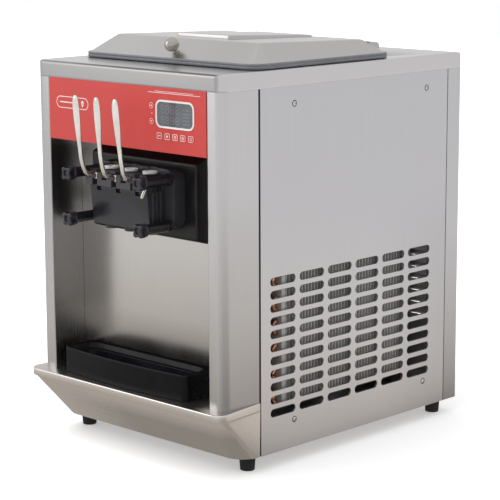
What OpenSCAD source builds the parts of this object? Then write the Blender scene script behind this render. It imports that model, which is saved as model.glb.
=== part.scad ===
// Countertop soft serve machine: two freezing cylinders, three dispensing levers.
// The origin is on the counter, in the middle of the footprint. +X is to the right of a user
// facing the machine, +Y to the back, +Z up. Pieces are drawn with y = 0 on the front face of
// the columns, and place() moves them to the middle of the footprint.
// Name endings: _l length, _w width, _d depth, _h height, _t thickness, _r radius,
// and _x, _y, _z a place along that axis.

/* [Cabinet] */
// Cabinet width
body_w = 520; // [516:1:526]
// Depth from the front face to the back panel
body_d = 689; // [686:1:700]
// Height of the top cover's upper face
body_h = 757; // [757:1:757]
// Height of the feet
foot_h = 30; // [30:1:30]
// Height of the shelf under the nozzles
shelf_z = 136; // [136:1:136]
// Sheet thickness of the panels
sheet = 1.5; // [1.2:0.1:1.5]
// Radius of the front vertical corners
corner_r = 21; // [16:1:24]
// Radius of a foot
foot_r = 16; // [12:1:17]

/* [Side vents] */
// Length of one slot
slot_l = 70; // [50:1:74]
// Height of one slot
slot_h = 17; // [8:1:18]
// Number of slot columns
slot_cols = 6; // [2:1:6]
// Number of slot rows
slot_rows = 11; // [3:1:12]
// Distance between slot columns
slot_pitch_y = 80.7; // [78:0.1:81]
// Distance between slot rows
slot_pitch_z = 25.4; // [21:0.1:25.4]

/* [Dispensing head] */
// Distance between the levers
lever_pitch = 54; // [54:1:54]
// Radius of a draw piston
piston_r = 14.95; // [14.9:0.01:14.98]
// Radius of the lever pivot pin
pin_r = 4; // [3.5:0.1:4]
// Lever grip width
grip_w = 18; // [14:1:20]
// Height of the lever tips
lever_top = 706; // [690:1:712]
// Spout radius of a nozzle
spout_r = 8; // [6:0.5:9]

/* [Drip tray] */
// Tray length
tray_l = 350; // [320:1:352]
// Tray height
tray_h = 51.5; // [40:0.5:58]
// Thickness of the tray floor
tray_t = 4; // [3:0.5:5]

/* [Hopper lid] */
// Height of the flat top of the lid
lid_top = 803; // [796:1:808]
// Rise of the raised panel on the lid
plateau_h = 8; // [4:1:10]

/* [Freezing unit] */
// Inner radius of a freezing cylinder
cyl_inner_r = 42; // [42:0.5:43]
// Radius swept by a beater
beater_r = 41.5; // [38:0.5:41.5]
// Radius of the fan
fan_r = 116; // [90:1:118]
// Number of fan blades
blade_count = 5; // [3:1:6]
// Pitch radius of the motor pulley
motor_pulley_r = 25; // [22:1:28]
// Pitch radius of the gearbox pulley
gear_pulley_r = 45; // [40:1:48]

/* [Hidden] */
$fn = 64;
steel = [0.76, 0.75, 0.73];
dark = [0.13, 0.13, 0.14];
red = [0.80, 0.25, 0.23];

run_gap = 0.05;               // radial running clearance
half_w = body_w / 2;
cover_z = 725;                // lower edge of the top cover's band
seam_y = 97;                  // seam between column and side panel
wrap_y = 648;                 // seam between side panel and rear panel
seam_gap = 1;                 // each panel stops this far from its seam
bay_x = 220;                  // half width of the dispensing bay
bay_y = 79;                   // back wall of the bay
bay_gap = 0.5;                // gap around the parts set into the bay
fascia_z = 605;               // lower edge of the control panel
deck_z = 418;                 // top of the deck that carries the freezing unit
deck_t = 3;
cord_x = -190;                // where the power cord leaves the rear panel
cord_y = body_d + 8;
cord_z = 90;
plug_t = 14;
y_front = -77.45;             // most forward point, the lever grips
y_back = cord_y + plug_t / 2; // most rearward point, the plug
y_mid = (y_front + y_back) / 2;
cyl_x = 54;                   // freezing cylinder axes
cyl_z = 512;
cyl_outer_r = 48;
feed_y = 200;                 // feed tubes from the hoppers to the cylinders
stud_x = 100;                 // studs that hold the head
stud_z = [464, 552];
stud_r = 4;

// ---------------------------------------------------------------- helpers
module place() { translate([0, -y_mid, 0]) children(); }
// 2D profile in x,z extruded along y
module extrude_y(y0, y1) {
  translate([0, y1, 0]) rotate([90, 0, 0]) linear_extrude(y1 - y0) children();
}
// 2D profile in y,z extruded along x
module extrude_x(x0, x1) {
  translate([x0, 0, 0]) rotate([90, 0, 90]) linear_extrude(x1 - x0) children();
}
// rods along one axis, from end to end, then the place of their axis
module rod_x(r, x0, x1, y, z) {
  translate([x0, y, z]) rotate([0, 90, 0]) cylinder(r = r, h = x1 - x0);
}
module rod_y(r, y0, y1, x, z) {
  translate([x, y1, z]) rotate([90, 0, 0]) cylinder(r = r, h = y1 - y0);
}
module rod_z(r, z0, z1, x, y) { translate([x, y, z0]) cylinder(r = r, h = z1 - z0); }
module box(x0, x1, y0, y1, z0, z1) {
  translate([x0, y0, z0]) cube([x1 - x0, y1 - y0, z1 - z0]);
}
// rounded rectangle from corner to corner
module round_rect(x0, y0, x1, y1, r) {
  translate([x0 + r, y0]) square([x1 - x0 - 2 * r, y1 - y0]);
  translate([x0, y0 + r]) square([x1 - x0, y1 - y0 - 2 * r]);
  for (x = [x0 + r, x1 - r], y = [y0 + r, y1 - r]) translate([x, y]) circle(r = r);
}
// rectangle centred on x = 0 with only its two front (low y) corners rounded
module front_round(half, y0, y1, r) {
  translate([r - half, y0]) square([2 * half - 2 * r, y1 - y0]);
  translate([-half, y0 + r]) square([2 * half, y1 - y0 - r]);
  for (x = [r - half, half - r]) translate([x, y0 + r]) circle(r = r);
}
module stadium(length, height) {
  translate([-(length - height) / 2, -height / 2]) square([length - height, height]);
  for (s = [-1, 1]) translate([s * (length - height) / 2, 0]) circle(d = height);
}
// children on the right, and mirrored on the left
module sides() { for (s = [0, 1]) mirror([s, 0, 0]) children(); }

// ---------------------------------------------------------------- cabinet
lip_h = 15.5;                 // height of the apron's lip
lip_w = 274;                  // half width of the lip
lip_y = -27;                  // front of the lip
lip_r = 24;                   // corner radius of the lip
apron_back_y = seam_y - seam_gap;
side_screw_y = [190, 580];
side_screw_z = [85, 692];
rear_screw_x = [-235, 235];
rear_screw_z = [60, 380, 700];
screw_hole_r = 2.6;

module base_pan() color(steel) place() {
  pan_x = 257;
  pan_back_y = 686;
  rim_z = foot_h + 20;
  box(-246, 246, 58, 100, foot_h, foot_h + sheet);
  box(-pan_x, pan_x, 100, pan_back_y, foot_h, foot_h + sheet);
  for (x = [-pan_x, pan_x - sheet]) box(x, x + sheet, 104, pan_back_y, foot_h, rim_z);
  box(-pan_x, pan_x, pan_back_y - sheet, pan_back_y, foot_h, rim_z);
}

module inner_frame() color(steel) place() {
  frame_x = 255;
  front_y = 105;
  back_y = 642;
  post_w = 20;
  bar_t = 3;
  rail_z = [700, 720];
  sides() {
    // L-shaped corner posts
    for (y = [front_y, back_y - post_w]) {
      flange_y = y == front_y ? y : back_y - bar_t;
      box(frame_x - bar_t, frame_x, y, y + post_w, foot_h + sheet, cover_z);
      box(236, frame_x, flange_y, flange_y + bar_t, foot_h + sheet, cover_z);
    }
    // side rails
    box(frame_x - bar_t, frame_x, front_y, back_y, rail_z[0], rail_z[1]);
    box(frame_x - bar_t, frame_x, front_y, back_y, deck_z - 6, deck_z);
  }
  // deck that carries the freezing unit
  box(-frame_x, frame_x, front_y, 455, deck_z - deck_t, deck_z);
  // rear crossbars
  box(-frame_x, frame_x, back_y - bar_t, back_y, rail_z[0], rail_z[1]);
  box(-frame_x, frame_x, back_y - bar_t, back_y, 440, 460);
}

// part of the apron under the lip, tapering down to the base
module apron_taper(inset, back_y, top_t, bottom_z) hull() {
  translate([0, 0, shelf_z - lip_h - 0.2]) linear_extrude(top_t)
    front_round(lip_w - 4 - inset, lip_y + 4 + inset, back_y, lip_r - inset, $fn = 32);
  translate([0, 0, bottom_z]) linear_extrude(0.2)
    front_round(half_w - inset, 49 + inset, back_y, 26 - inset, $fn = 32);
}
module base_apron() color(steel) place() difference() {
  union() {
    translate([0, 0, shelf_z - lip_h]) linear_extrude(lip_h)
      front_round(lip_w, lip_y, apron_back_y, lip_r);
    apron_taper(0, apron_back_y, 0.2, foot_h);
  }
  // hollow of the lip, then of the taper
  translate([0, 0, shelf_z - lip_h + sheet]) linear_extrude(lip_h - 2 * sheet)
    front_round(lip_w - sheet, lip_y + sheet, apron_back_y + 2, lip_r - sheet);
  apron_taper(sheet, apron_back_y + 2, sheet + 0.3, foot_h - 1);
  // clearance for the bottom edges of the pan
  box(-half_w + sheet, half_w - sheet, 57, 98, foot_h - 1, foot_h + 3);
  // flush back edge
  box(-300, 300, apron_back_y, 120, 0, 200);
}

module feet() color(dark) place()
  for (x = [-228, 228], y = [93, 652]) translate([x, y, 0]) {
    cylinder(r1 = foot_r - 2, r2 = foot_r, h = foot_h - 4);
    translate([0, 0, foot_h - 4]) cylinder(r = foot_r, h = 4);
  }

module top_cover() color(steel) place() difference() {
  back_y = body_d + 2;
  translate([0, 0, cover_z]) linear_extrude(body_h - cover_z)
    front_round(half_w, 0, back_y, corner_r);
  translate([0, 0, cover_z - 1]) linear_extrude(body_h - cover_z + 1 - sheet)
    front_round(half_w - sheet, sheet, back_y - sheet, corner_r - sheet);
  // hopper opening
  translate([0, 0, body_h - 5]) linear_extrude(10) round_rect(-200, 140, 200, 430, 12);
}

module front_columns() color(steel) place() sides() translate([0, 0, shelf_z])
  linear_extrude(cover_z - shelf_z) difference() {
    corner_x = half_w - corner_r;
    back_y = seam_y - seam_gap;
    union() {
      translate([bay_x, 0]) square([corner_x - bay_x, back_y]);
      translate([bay_x, corner_r]) square([half_w - bay_x, back_y - corner_r]);
      translate([corner_x, corner_r]) circle(r = corner_r);
    }
    // hollow, open at the back
    translate([bay_x + sheet, sheet]) square([corner_x - bay_x - sheet, seam_y]);
    translate([bay_x + sheet, corner_r]) square([half_w - bay_x - 2 * sheet, seam_y]);
    intersection() {
      translate([corner_x, corner_r]) circle(r = corner_r - sheet);
      translate([corner_x - 1, 0]) square(corner_r + 2);
    }
    // the corner's circle stops at the bay wall
    translate([bay_x - 20, -1]) square([20, seam_y + 2]);
  }

module side_panel() {
  y0 = seam_y + seam_gap;
  y1 = wrap_y - seam_gap;
  first_slot_y = 123.5;
  top_slot_z = 362;
  extrude_x(half_w - sheet, half_w) difference() {
    translate([y0, foot_h]) square([y1 - y0, cover_z - foot_h]);
    for (col = [0 : slot_cols - 1], row = [0 : slot_rows - 1])
      translate([first_slot_y + slot_l / 2 + col * slot_pitch_y, top_slot_z - row * slot_pitch_z])
        stadium(slot_l, slot_h);
    for (y = side_screw_y, z = side_screw_z) translate([y, z]) circle(r = screw_hole_r);
  }
  // return flanges along the front and back edges
  box(half_w - 14, half_w - sheet, y0, y0 + sheet, 140, cover_z - 4);
  box(half_w - 3, half_w - sheet, y1 - sheet, y1, foot_h + 26, cover_z - 4);
}
module side_panel_left() color(steel) place() mirror([1, 0, 0]) side_panel();
module side_panel_right() color(steel) place() side_panel();

module rear_panel() color(steel) place() difference() {
  union() {
    sides() box(half_w - sheet, half_w, wrap_y + seam_gap, body_d, foot_h, cover_z);
    box(-half_w + sheet, half_w - sheet, body_d - sheet, body_d, foot_h, cover_z);
  }
  // vent slots
  extrude_y(body_d - 5, body_d + 5) for (col = [-2 : 2], row = [0 : 9])
    translate([col * 84, 200 + row * 25.4]) stadium(slot_l, 12);
  for (x = rear_screw_x, z = rear_screw_z) rod_y(screw_hole_r, body_d - 5, body_d + 5, x, z);
  rod_y(10.2, body_d - 5, body_d + 5, cord_x, cord_z);
}

// button head screw with a hexagon socket, head on +Z
module screw(head_r) difference() {
  union() {
    intersection() {
      translate([0, 0, -head_r * 1.1]) sphere(r = head_r * 1.49);
      cylinder(r = head_r, h = head_r);
    }
    translate([0, 0, -6]) cylinder(r = head_r / 2.05, h = 6.2);
  }
  translate([0, 0, 0.2]) cylinder(r = head_r * 0.42, h = 4, $fn = 6);
}
module cover_screws() color("silver") place() {
  sides() for (y = side_screw_y, z = side_screw_z)
    translate([half_w, y, z]) rotate([0, 90, 0]) screw(5);
  for (x = rear_screw_x, z = rear_screw_z)
    translate([x, body_d, z]) rotate([-90, 0, 0]) screw(5);
}

module bay_liner() color(steel) place() difference() {
  extrude_y(bay_y, bay_y + sheet) translate([-bay_x + bay_gap, shelf_z])
    square([2 * (bay_x - bay_gap), fascia_z - shelf_z + 20]);
  sides() {
    rod_y(cyl_outer_r + 1, bay_y - 5, bay_y + 5, cyl_x, cyl_z);
    for (z = stud_z) rod_y(6, bay_y - 5, bay_y + 5, stud_x, z);
  }
}

// ---------------------------------------------------------------- controls
arrow_x = 75.5;               // round keys
arrow_z = [661, 690.5];
arrow_r = 6;
key_x = [96.5, 117.5, 138.5, 159, 180];   // row of square keys
key_z = 635.5;

module display_outline(grow, r) {
  round_rect(88 - grow, 652 - grow, 187 + grow, 701 + grow, r);
}
module key_outline(x, grow, r) {
  round_rect(x - 7 - grow, key_z - 6 - grow, x + 7 + grow, key_z + 6 + grow, r);
}
module control_panel() color(red) place() difference() {
  panel_x = bay_x - bay_gap;
  union() {
    box(-panel_x, panel_x, 0, sheet, fascia_z, cover_z);
    box(-panel_x, panel_x, 0, bay_y - bay_gap, fascia_z, fascia_z + sheet);
  }
  extrude_y(-5, 5) display_outline(0, 12);
  for (z = arrow_z) rod_y(arrow_r + 0.2, -5, 5, arrow_x, z);
  extrude_y(-5, 5) for (x = key_x) key_outline(x, 0.2, 3);
}

// switch behind a key
module key_switch(x, z) { box(x - 3, x + 3, 6, 9, z - 3, z + 3); }
module control_board() color([0.1, 0.35, 0.2]) place() {
  box(58, 204, 9, 10.6, 618, 714);
  // block behind the display window
  box(92, 183, 4, 9, 655, 698);
  for (z = arrow_z) key_switch(arrow_x, z);
  for (x = key_x) key_switch(x, key_z);
  // blocks on the back of the board
  box(70, 120, 10.6, 22, 640, 690);
  box(140, 190, 10.6, 16, 630, 700);
}
module display_bezel() color([0.9, 0.9, 0.9]) place() extrude_y(-1, 0) difference() {
  display_outline(1.5, 14);
  display_outline(-2, 10.5);
}
module display_window() color([0.25, 0.28, 0.3]) place()
  extrude_y(0, 2) display_outline(-0.2, 11.8);

// keys, each with a flange behind the panel
module round_key(z) {
  rod_y(arrow_r, -1, 5, arrow_x, z);
  rod_y(arrow_r + 2, 2.3, 3.3, arrow_x, z);
}
module square_key(x) {
  extrude_y(-1, 5) key_outline(x, 0, 2.8);
  extrude_y(2.3, 3.3) key_outline(x, 1.6, 3.5);
}
module key_up() color(dark) place() round_key(arrow_z[1]);
module key_down() color(dark) place() round_key(arrow_z[0]);
module key_off() color(dark) place() square_key(key_x[0]);
module key_auto() color(dark) place() square_key(key_x[1]);
module key_wash() color(dark) place() square_key(key_x[2]);
module key_cool() color(dark) place() square_key(key_x[3]);
module key_reset() color(dark) place() square_key(key_x[4]);

// ---------------------------------------------------------------- dispensing head
pivot_y = -23.5;              // lever pivot axis
pivot_z = 548;
piston_y = 14;                // piston axes
block_z = 452;                // underside of the head block
head_back_y = 50;             // back face of the block, against the housing
bore_z = block_z + 12;        // foot of the piston bores
knob_y = -64;                 // front faces of the hand screws
arm_l = 40;                   // lever arm behind the pivot
grip_t = 6.42;                // grip thickness along y
grip_lean = 5;                // forward lean of the grip, degrees
function grip_y(z) = y_front + (lever_top - z) * tan(grip_lean);   // front face of the grip

module head_housing() color(dark) place() difference() {
  // section in y,z
  extrude_x(-154, 141) polygon([[head_back_y, 437], [53, 434], [bay_y, 426],
    [bay_y, 593], [53, 582], [head_back_y, 578]]);
  sides() {
    rod_y(cyl_outer_r + run_gap, 40, 90, cyl_x, cyl_z);
    for (z = stud_z) rod_y(stud_r + 0.5, 40, 90, stud_x, z);
  }
}

module at_levers() { for (i = [-1, 0, 1]) translate([i * lever_pitch, 0, 0]) children(); }

module dispensing_head() color(dark) place() difference() {
  union() {
    // back plate, block in front of it (section in y,z), and pivot bar
    extrude_y(20, head_back_y) round_rect(-110, block_z, 110, 570, 24);
    extrude_x(-80, 80) polygon([[-10, block_z], [-12, block_z + 2], [-20, 531], [-20, 560],
      [22, 560], [22, block_z]]);
    extrude_y(-31, -10) round_rect(-80, 531, 80, 556, 4);
    // ribs on the block's sides
    sides() for (y = [-8, 2, 12]) box(76, 83, y, y + 4.5, block_z + 6, 528);
  }
  at_levers() {
    // piston bore and its spout
    rod_z(15, bore_z, 600, 0, piston_y);
    rod_z(9, block_z - 10, block_z + 20, 0, piston_y);
    // slots for the lever and its arm
    box(-7, 7, -40, -14, 520, 600);
    box(-5.5, 5.5, -20, piston_y, 541, 600);
  }
  // relief notches between the levers
  for (x = [-lever_pitch / 2, lever_pitch / 2]) box(x - 7, x + 7, -40, -20, 543, 600);
  // pivot bore
  rod_x(pin_r + run_gap, -90, 90, pivot_y, pivot_z);
  // recesses in front of the cylinders, product ports, and stud holes
  sides() {
    rod_y(cyl_inner_r, 38, 60, cyl_x, cyl_z);
    rod_y(8, piston_y, 45, cyl_x, 484);
    for (z = stud_z) rod_y(stud_r + 0.5, 10, 60, stud_x, z);
  }
  // passage that joins the ports
  rod_x(5, -cyl_x, cyl_x, 30, 484);
}

module head_seals() color(dark) place() sides()
  translate([cyl_x, head_back_y + 2, cyl_z]) rotate([90, 0, 0])
    rotate_extrude() translate([cyl_inner_r + 1, 0]) square([5, 2]);

// studs with hexagon nuts
module head_studs() color("silver") place() sides() for (z = stud_z) {
  rod_y(stud_r, -50, 94, stud_x, z);
  translate([stud_x, 84, z]) rotate([-90, 0, 0]) cylinder(r = 8, h = 7, $fn = 6);
}

module hand_screw(x, z) difference() {
  lobe = 7.3;
  union() {
    // sleeve and collar
    rod_y(10, knob_y + 18, 20, x, z);
    rod_y(13, knob_y + 8, knob_y + 22, x, z);
    // four-lobed grip
    rod_y(12.6, knob_y, knob_y + 13, x, z);
    for (i = [-1, 1], k = [-1, 1])
      rod_y(5.6, knob_y, knob_y + 14, x + lobe * i, z + lobe * k);
    // foot against the head
    rod_y(11.5, 14, 20, x, z);
  }
  // dish in the front, and the stud's bore
  rod_y(6, knob_y - 1, knob_y + 3, x, z);
  rod_y(stud_r + run_gap, -51, 30, x, z);
}
module knob_upper_left() color(dark) place() hand_screw(-stud_x, stud_z[1]);
module knob_upper_right() color(dark) place() hand_screw(stud_x, stud_z[1]);
module knob_lower_left() color(dark) place() hand_screw(-stud_x, stud_z[0]);
module knob_lower_right() color(dark) place() hand_screw(stud_x, stud_z[0]);

module lever_pin() color("silver") place() {
  bend_x = 86;
  tail_r = 3.4;
  tail_l = 30;
  rod_x(pin_r, -83, bend_x, pivot_y, pivot_z);
  // bent end, with a tapered tip, to pull the pin out by
  translate([bend_x, pivot_y, pivot_z]) sphere(r = pin_r + 0.4);
  translate([bend_x, pivot_y, pivot_z]) rotate([152, 0, 0]) {
    cylinder(r = tail_r, h = tail_l);
    translate([0, 0, tail_l]) cylinder(r1 = tail_r, r2 = 2, h = 1.6);
  }
}

// side outline of a lever in y,z: the shank sweeps forward and up into the leaning grip
lever_side = [
  [-23.5, 543], [-44, 543.9], [-52, 546.5], [-58, 551.5], [-61.5, 557.5], [-63.3, 564],
  [grip_y(615), 615], [grip_y(lever_top + 2), lever_top + 2],
  [grip_y(lever_top + 2) + grip_t, lever_top + 2], [grip_y(615) + grip_t, 615],
  [-57, 566], [-55.6, 561.5], [-52.5, 557.5], [-47, 554.5], [-40, 553.3], [-23.5, 553]];
// front outline in x,z: narrow shank, then the flat grip with a rounded end
tip_r = grip_w / 2 - 1;
lever_face = concat(
  [[-5, 530], [5, 530], [5, 615], [tip_r, 649]],
  [for (a = [0 : 15 : 180]) [tip_r * cos(a), lever_top - tip_r * (1 - sin(a))]],
  [[-tip_r, 649], [-5, 615]]);

module lever(x) translate([x, 0, 0]) difference() {
  union() {
    // hub on the pivot, and the arm to the piston
    rod_x(7.5, -6, 6, pivot_y, pivot_z);
    extrude_x(-4, 4) translate([pivot_y, pivot_z - 2.5]) square([arm_l, 5]);
    rod_x(4, -3.6, 3.6, pivot_y + arm_l, pivot_z);
    intersection() {
      extrude_x(-20, 20) polygon(lever_side);
      extrude_y(-90, 0) polygon(lever_face);
    }
  }
  rod_x(pin_r + run_gap, -20, 20, pivot_y, pivot_z);
}
module lever_left() color("gainsboro") place() lever(-lever_pitch);
module lever_center() color("gainsboro") place() lever(0);
module lever_right() color("gainsboro") place() lever(lever_pitch);

module piston(x) translate([x, 0, 0]) difference() {
  rod_z(piston_r, bore_z, 563.5, 0, piston_y);
  // window for the lever's arm, with a bevelled lower lip
  extrude_x(-4.6, 4.6)
    polygon([[-6, 531], [6.5, 541.75], [22.5, 541.75], [22.5, 554.4], [-6, 554.4]]);
  // seal grooves and a shallow dish in the top
  for (z = [485, 530]) translate([0, piston_y, z])
    rotate_extrude() translate([13.4, 0]) square([4, 2.4]);
  rod_z(9, 562, 575, 0, piston_y);
}
module piston_left() color("white") place() piston(-lever_pitch);
module piston_center() color("white") place() piston(0);
module piston_right() color("white") place() piston(lever_pitch);

module nozzle_caps() color(dark) place() at_levers()
  translate([0, piston_y, block_z - 8]) difference() {
    union() {
      cylinder(r = 14, h = 8);
      translate([0, 0, 3]) cylinder(r = 16, h = 5);
    }
    // six-pointed spout
    translate([0, 0, -1]) linear_extrude(5) {
      circle(r = spout_r * 0.55);
      for (a = [0 : 60 : 300]) rotate(a) translate([spout_r * 0.62, 0]) circle(r = spout_r * 0.3);
    }
    translate([0, 0, 3]) cylinder(r = 11, h = 7);
  }

// ---------------------------------------------------------------- drip tray
// quarter circle of points starting at angle a0
function corner(x, y, r, a0) =
  [for (i = [0 : 4]) [x + r * cos(a0 + 22.5 * i), y + r * sin(a0 + 22.5 * i)]];
// rectangle with rounded corners and a front bowed forward by bow
function tray_points(x0, x1, y0, y1, r, bow) = concat(
  [for (i = [1 : 19])
    [x0 + r + (x1 - x0 - 2 * r) * i / 20, y0 - bow * (1 - pow(i / 10 - 1, 2))]],
  corner(x1 - r, y0 + r, r, -90), corner(x1 - r, y1 - r, r, 0),
  corner(x0 + r, y1 - r, r, 90), corner(x0 + r, y0 + r, r, 180));

module drip_tray() color(dark) place() translate([-18 - tray_l / 2, 0, shelf_z]) difference() {
  linear_extrude(tray_h) polygon(tray_points(0, tray_l, -1, 78.5, 12, 9));
  // basin, and the wider step around its top
  translate([0, 0, tray_t]) linear_extrude(tray_h)
    polygon(tray_points(21, tray_l - 16, 4, 60, 20, 7));
  translate([0, 0, tray_h - 11.5]) linear_extrude(20)
    polygon(tray_points(13, tray_l - 8, 1.5, 67, 24, 8.5));
  // hollow from below
  translate([0, 0, -1]) linear_extrude(tray_t - 2)
    polygon(tray_points(10, tray_l - 10, 10, 70, 12, 6));
}

// ---------------------------------------------------------------- hopper lid
lid_x = 8;                    // the lid and its hinges sit off the centre line
lid_z = 768;                  // foot of the lid's slopes
lid_t = 1.5;
lid_fall = 1.84;              // fall of the lid's top towards the back, degrees
hinge_y = 478;                // lid hinge axis
hinge_z = 778;
hinge_pin_r = 3;
hopper_z = 592;               // underside of the hoppers
hopper_t = 1.2;

// rounded rectangle with one radius at the front corners and another at the back
module two_radius_rect(x0, y0, x1, y1, front_r, back_r) {
  translate([x0 + front_r, y0]) square([x1 - x0 - 2 * front_r, front_r + 1]);
  translate([x0, y0 + front_r]) square([x1 - x0, y1 - y0 - front_r - back_r]);
  translate([x0 + back_r, y1 - back_r - 1]) square([x1 - x0 - 2 * back_r, back_r + 1]);
  for (x = [x0 + front_r, x1 - front_r]) translate([x, y0 + front_r]) circle(r = front_r);
  for (x = [x0 + back_r, x1 - back_r]) translate([x, y1 - back_r]) circle(r = back_r);
}
module lid_outline(inset) {
  two_radius_rect(-242 + inset, 100 + inset, 238 - inset, 476 - inset, 36 - inset, 16 - inset);
}
// sloping body of the lid, its foot lengthened downwards by drop
module lid_shape(inset, drop = 0) hull() {
  translate([lid_x, 0, lid_z - inset - drop]) linear_extrude(0.2 + drop)
    lid_outline(inset, $fn = 32);
  translate([lid_x, 153, lid_top - 0.2 - inset]) rotate([-lid_fall, 0, 0]) linear_extrude(0.2)
    round_rect(-196 + inset, inset, 196 - inset, 297 - inset, 8, $fn = 32);
}
// raised panel, tapering to the back
module plateau(inset) intersection() {
  translate([0, 0, 780]) linear_extrude(60)
    round_rect(-62 + inset, 196 + inset, 92 - inset, 428 - inset, 6 - inset);
  extrude_x(-80, 110) polygon([[190, 788], [190, lid_top - 1.2 + plateau_h - inset],
    [435, lid_top - 9 + plateau_h / 2 - inset], [435, 780]]);
}
module hopper_lid() color(steel) place() difference() {
  union() {
    difference() {
      union() {
        translate([lid_x, 0, lid_z - lid_t]) linear_extrude(lid_t) lid_outline(0);
        lid_shape(0);
        plateau(0);
      }
      lid_shape(lid_t, 4);
      plateau(lid_t);
    }
    // hinge ears
    translate([lid_x, 0, 0]) sides() {
      rod_x(8.9, 196, 206, hinge_y, hinge_z);
      extrude_x(196, 206) polygon([[453, 788], [460, 780], [467, 773.5], [471, 769.6],
        [hinge_y, 769.6], [hinge_y, hinge_z + 7.5], [462, 788.5]]);
    }
  }
  translate([lid_x, 0, 0]) sides()
    rod_x(hinge_pin_r + run_gap, 188, 203, hinge_y, hinge_z);
}

// frame under the lid's edge, with a raised rim around it
module lid_trim() color([0.5, 0.53, 0.57]) place() translate([lid_x, 0, 0]) {
  trim_z = 758;
  translate([0, 0, trim_z]) linear_extrude(lid_z - lid_t - trim_z) difference() {
    lid_outline(-4);
    lid_outline(10);
  }
  translate([0, 0, lid_z - lid_t]) linear_extrude(2.5) difference() {
    lid_outline(-4);
    lid_outline(0);
  }
}

// ball knob standing on the lid's front slope
module lid_handle() color("silver") place()
  translate([20, 115.5, 778.39]) rotate([33.29, 0, 0]) {
    cylinder(r = 8, h = 2.5);
    cylinder(r = 5, h = 12);
    translate([0, 0, 18.5]) sphere(r = 14.5);
  }

module lid_hinges() color(steel) place() translate([lid_x, 0, 0]) sides() {
  difference() {
    union() {
      extrude_x(182, 194) polygon([[482, body_h], [493, body_h], [485, 781], [479, 785],
        [478, 771], [482, 771]]);
      rod_x(7.8, 182, 194, hinge_y, hinge_z);
      box(170, 194, 482, 498, body_h, body_h + 2.5);
    }
    rod_z(2.6, body_h - 2, body_h + 5, 176, 490);
  }
  rod_x(hinge_pin_r, 188, 202, hinge_y, hinge_z);
}

module hopper_outline(inset) {
  round_rect(6 + inset, 150 + inset, 188 - inset, 420 - inset, 24 - inset);
}
module hoppers() color("gainsboro") place() sides() difference() {
  union() {
    translate([0, 0, hopper_z]) linear_extrude(body_h - hopper_z) hopper_outline(0);
    // rim on the top cover, and the feed tube
    translate([0, 0, body_h]) linear_extrude(1) round_rect(1, 135, 205, 436, 14);
    rod_z(11, 556, hopper_z + 1, cyl_x, feed_y);
  }
  translate([0, 0, hopper_z + hopper_t]) linear_extrude(200) hopper_outline(hopper_t);
  rod_z(9, 550, 600, cyl_x, feed_y);
}

// ---------------------------------------------------------------- freezing unit
motor_z = 335;                // drive motor axis
motor_shaft_r = 7;
beater_shaft_r = 8;
gear_shaft_r = 8;             // gearbox input

module freezing_cylinders() color("silver") place() sides() difference() {
  rod_y(cyl_outer_r, 52, 380, cyl_x, cyl_z);
  rod_y(cyl_inner_r, 40, 376, cyl_x, cyl_z);
  rod_y(beater_shaft_r + run_gap, 370, 390, cyl_x, cyl_z);
  rod_z(11.1, cyl_z + 20, cyl_z + 60, cyl_x, feed_y);
}
module cylinder_insulation() color([0.93, 0.9, 0.78]) place() difference() {
  box(-118, 118, 95, 380, deck_z, 588);
  sides() {
    rod_y(cyl_outer_r + 0.1, 80, 390, cyl_x, cyl_z);
    rod_z(11.2, cyl_z, 600, cyl_x, feed_y);
  }
}

// shaft with two helical blades
module beater() {
  rod_y(beater_shaft_r, 60, 398, cyl_x, cyl_z);
  translate([cyl_x, 364, cyl_z]) rotate([90, 0, 0])
    linear_extrude(290, twist = 540, slices = 30, $fn = 8)
      for (a = [0, 180]) rotate(a) translate([6, -1.5]) square([beater_r - 6.5, 3]);
}
module beater_left() color("white") place() mirror([1, 0, 0]) beater();
module beater_right() color("white") place() beater();

module drive_motor() color([0.25, 0.3, 0.38]) place() difference() {
  union() {
    rod_y(55, 330, 434, 0, motor_z);
    rod_y(40, 434, 440, 0, motor_z);
    rod_y(48, 322, 330, 0, motor_z);
    // cooling fins
    for (a = [0 : 30 : 330]) translate([0, 0, motor_z]) rotate([0, a, 0])
      box(-1.2, 1.2, 338, 426, 50, 60);
    // hangers and the plate under the deck
    for (x = [-45, 35]) box(x, x + 10, 345, 420, motor_z + 30, deck_z - deck_t);
    box(-60, 60, 345, 420, 411, deck_z - deck_t);
  }
  rod_y(motor_shaft_r + run_gap, 430, 450, 0, motor_z);
}

// flanged pulley on its shaft, with a ring of holes
module pulley(pitch_r, z, shaft_r, shaft_y, holes, ring_r, hole_r) difference() {
  union() {
    rod_y(pitch_r, 458, 476, 0, z);
    for (y = [457, 474.5]) rod_y(pitch_r + 4, y, y + 2.5, 0, z);
    rod_y(shaft_r, shaft_y, 460, 0, z);
  }
  for (i = [0 : holes - 1]) translate([0, 0, z]) rotate([0, i * 360 / holes, 0])
    translate([ring_r, 450, 0]) rotate([-90, 0, 0]) cylinder(r = hole_r, h = 40);
}
module motor_pulley() color("dimgray") place()
  pulley(motor_pulley_r, motor_z, motor_shaft_r, 431, holes = 4, ring_r = 15, hole_r = 4);
module gearbox_pulley() color("dimgray") place()
  pulley(gear_pulley_r, cyl_z, gear_shaft_r, 441, holes = 6, ring_r = 28, hole_r = 9);

module gearbox() color("gray") place() difference() {
  union() {
    extrude_y(384, 450) round_rect(-104, 470, 104, 554, 12);
    // foot plate and pedestal
    extrude_y(388, 446) round_rect(-112, deck_z, 112, deck_z + 8, 2);
    box(-96, 96, 392, 442, 420, 480);
    sides() rod_y(26, 380.5, 390, cyl_x, cyl_z);
  }
  sides() rod_y(beater_shaft_r + run_gap, 370, 400, cyl_x, cyl_z);
  rod_y(gear_shaft_r + run_gap, 440, 460, 0, cyl_z);
}

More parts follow.
